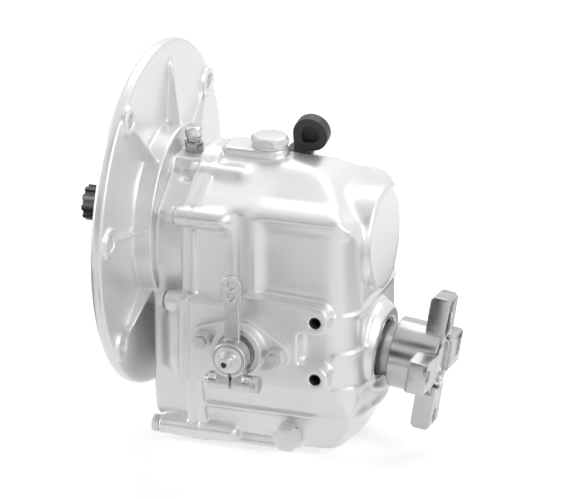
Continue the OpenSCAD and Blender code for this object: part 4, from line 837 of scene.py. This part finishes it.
# %% Handle, lever and breather cap
dress(cast_form("dipstick_handle", "moulded_handle", 0.0004, 6, SMALL_KEEP), "dipstick_handle")
dress(cast_form("shift_lever", "forged_lever", 0.0004, 5, SMALL_KEEP), "shift_lever")
dress(cast_form("breather_cap", "breather_chrome_cap", 0.0003, 8, SMALL_KEEP), "breather_cap")

# %% [markdown]
# ## Machined pieces
# Bolts, plugs and the coupling come off a machine, and a machine leaves a small even chamfer on every
# edge. It is tiny, but it catches the light, and without it steel looks like paper. Here a bevel is
# right: the faces are flat or round, and their edges are clean.

# %% Small even chamfers
FLAT_LIMIT = math.radians(0.6)
EDGE_LIMIT = math.radians(35)
MACHINED_CREASE = 30
CHAMFER_SEGMENTS = 2
MACHINED = [
    ("output_coupling", "bright_coupling", 0.0009),
    ("coupling_nut", "coupling_lock_nut", 0.0006),
    ("shift_shaft", "turned_shift_shaft", 0.0005),
    ("lever_clamp_bolt", "clamp_screw", 0.0005),
    ("cover_nuts", "cover_hex_nuts", 0.0005),
    ("case_bolts", "case_hex_bolts", 0.0006),
    ("filler_plug", "filler_hex_plug", 0.0008),
    ("drain_plug", "drain_hex_plug", 0.0006),
    ("breather_base", "breather_hex_base", 0.0004),
    ("input_shaft", "splined_input_shaft", 0.0003),
]


def machined_form(node, name, chamfer):
    """A CAD node with flat faces made whole and a chamfer on every edge, in metres."""
    piece = loose_copy(node, name)
    work = bmesh.new()
    work.from_mesh(piece.data)
    bmesh.ops.dissolve_limit(work, angle_limit=FLAT_LIMIT, verts=work.verts, edges=work.edges)
    work.to_mesh(piece.data)
    work.free()
    edge = piece.modifiers.new("chamfer", "BEVEL")
    edge.width = chamfer
    edge.segments = CHAMFER_SEGMENTS
    edge.limit_method = "ANGLE"
    edge.angle_limit = EDGE_LIMIT
    settle(piece)
    shade(piece, MACHINED_CREASE)
    dress(piece, node)


for node, name, chamfer in MACHINED:
    machined_form(node, name, chamfer)

# %% [markdown]
# ## Threads in the bracket holes
# Two tapped holes in the side pad take the cable bracket. A smooth bore would look like a drilled pipe,
# and the holes look dark inside, because a thread traps the light. We wind one ridge down each bore as a
# thin sleeve with a closed end, and colour it near black: painted shade for the dark inside of the holes.

# %% Thread sleeves in painted shade
BRACKET_HOLES = [(0.1465, -0.0435), (0.1465, -0.0865)]
BORE_R = 0.00425
THREAD_TOP_Y = -0.0697
THREAD_END_Y = -0.0543
THREAD_PITCH = 0.00125
THREAD_DEPTH = 0.0006
SLEEVE_WALL = 0.0009
SLEEVE_PLAY = 0.00006
TURN_STEPS = 40
ROWS_PER_PITCH = 6
THREAD_CREASE = 50


def thread_sleeve(mesh_work, x, z):
    """Adds a cup along Y whose inner wall carries one wound ridge."""
    rows = int(round((THREAD_END_Y - THREAD_TOP_Y) / THREAD_PITCH * ROWS_PER_PITCH))

    def ring(y, radius_at):
        made = []
        for k in range(TURN_STEPS):
            a = 2 * math.pi * k / TURN_STEPS
            radius = radius_at(k / TURN_STEPS)
            made.append(mesh_work.verts.new((x + radius * math.cos(a), y, z + radius * math.sin(a))))
        return made

    def ridge(y):
        def radius_at(turn):
            share = ((y - THREAD_TOP_Y) / THREAD_PITCH + turn) % 1.0
            return BORE_R - SLEEVE_PLAY - THREAD_DEPTH * (1 - abs(2 * share - 1)) - THREAD_DEPTH / 4
        return radius_at

    outer_r = BORE_R - SLEEVE_PLAY
    rings = [ring(THREAD_END_Y, lambda turn: outer_r), ring(THREAD_TOP_Y, lambda turn: outer_r)]
    for i in range(rows + 1):
        rings.append(ring(THREAD_TOP_Y + (THREAD_END_Y - SLEEVE_WALL - THREAD_TOP_Y) * i / rows,
                          ridge(THREAD_TOP_Y + (THREAD_END_Y - THREAD_TOP_Y) * i / rows)))
    for near, far in zip(rings, rings[1:]):
        for k in range(TURN_STEPS):
            after = (k + 1) % TURN_STEPS
            mesh_work.faces.new((near[k], near[after], far[after], far[k]))
    mesh_work.faces.new(rings[-1])
    mesh_work.faces.new(list(reversed(rings[0])))


sleeves = bmesh.new()
for x, z in BRACKET_HOLES:
    thread_sleeve(sleeves, x, z)
bmesh.ops.recalc_face_normals(sleeves, faces=sleeves.faces)
sleeve_mesh = bpy.data.meshes.new("tapped_bracket_threads")
sleeves.to_mesh(sleeve_mesh)
sleeves.free()
threads = link_object("tapped_bracket_threads", sleeve_mesh)
shade(threads, THREAD_CREASE)
# The near-black thread colour is painted shade for the inside of the holes.
sleeve_mesh.materials.append(thread_painted_shade)
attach(threads, "casing")
print("thread sleeves with", len(sleeve_mesh.polygons), "faces")

# %% [markdown]
# ## Measure
# We print how far the dressed box stands beyond the CAD box, in millimetres. Blender may not
# change the object's size.

# %% Box sizes, and the last line
seen_low, seen_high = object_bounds()
growth = zip((*seen_low, *seen_high), (*cad_low, *cad_high))
print("grown by mm:", [round(1000 * (seen - cad), 2) for seen, cad in growth])
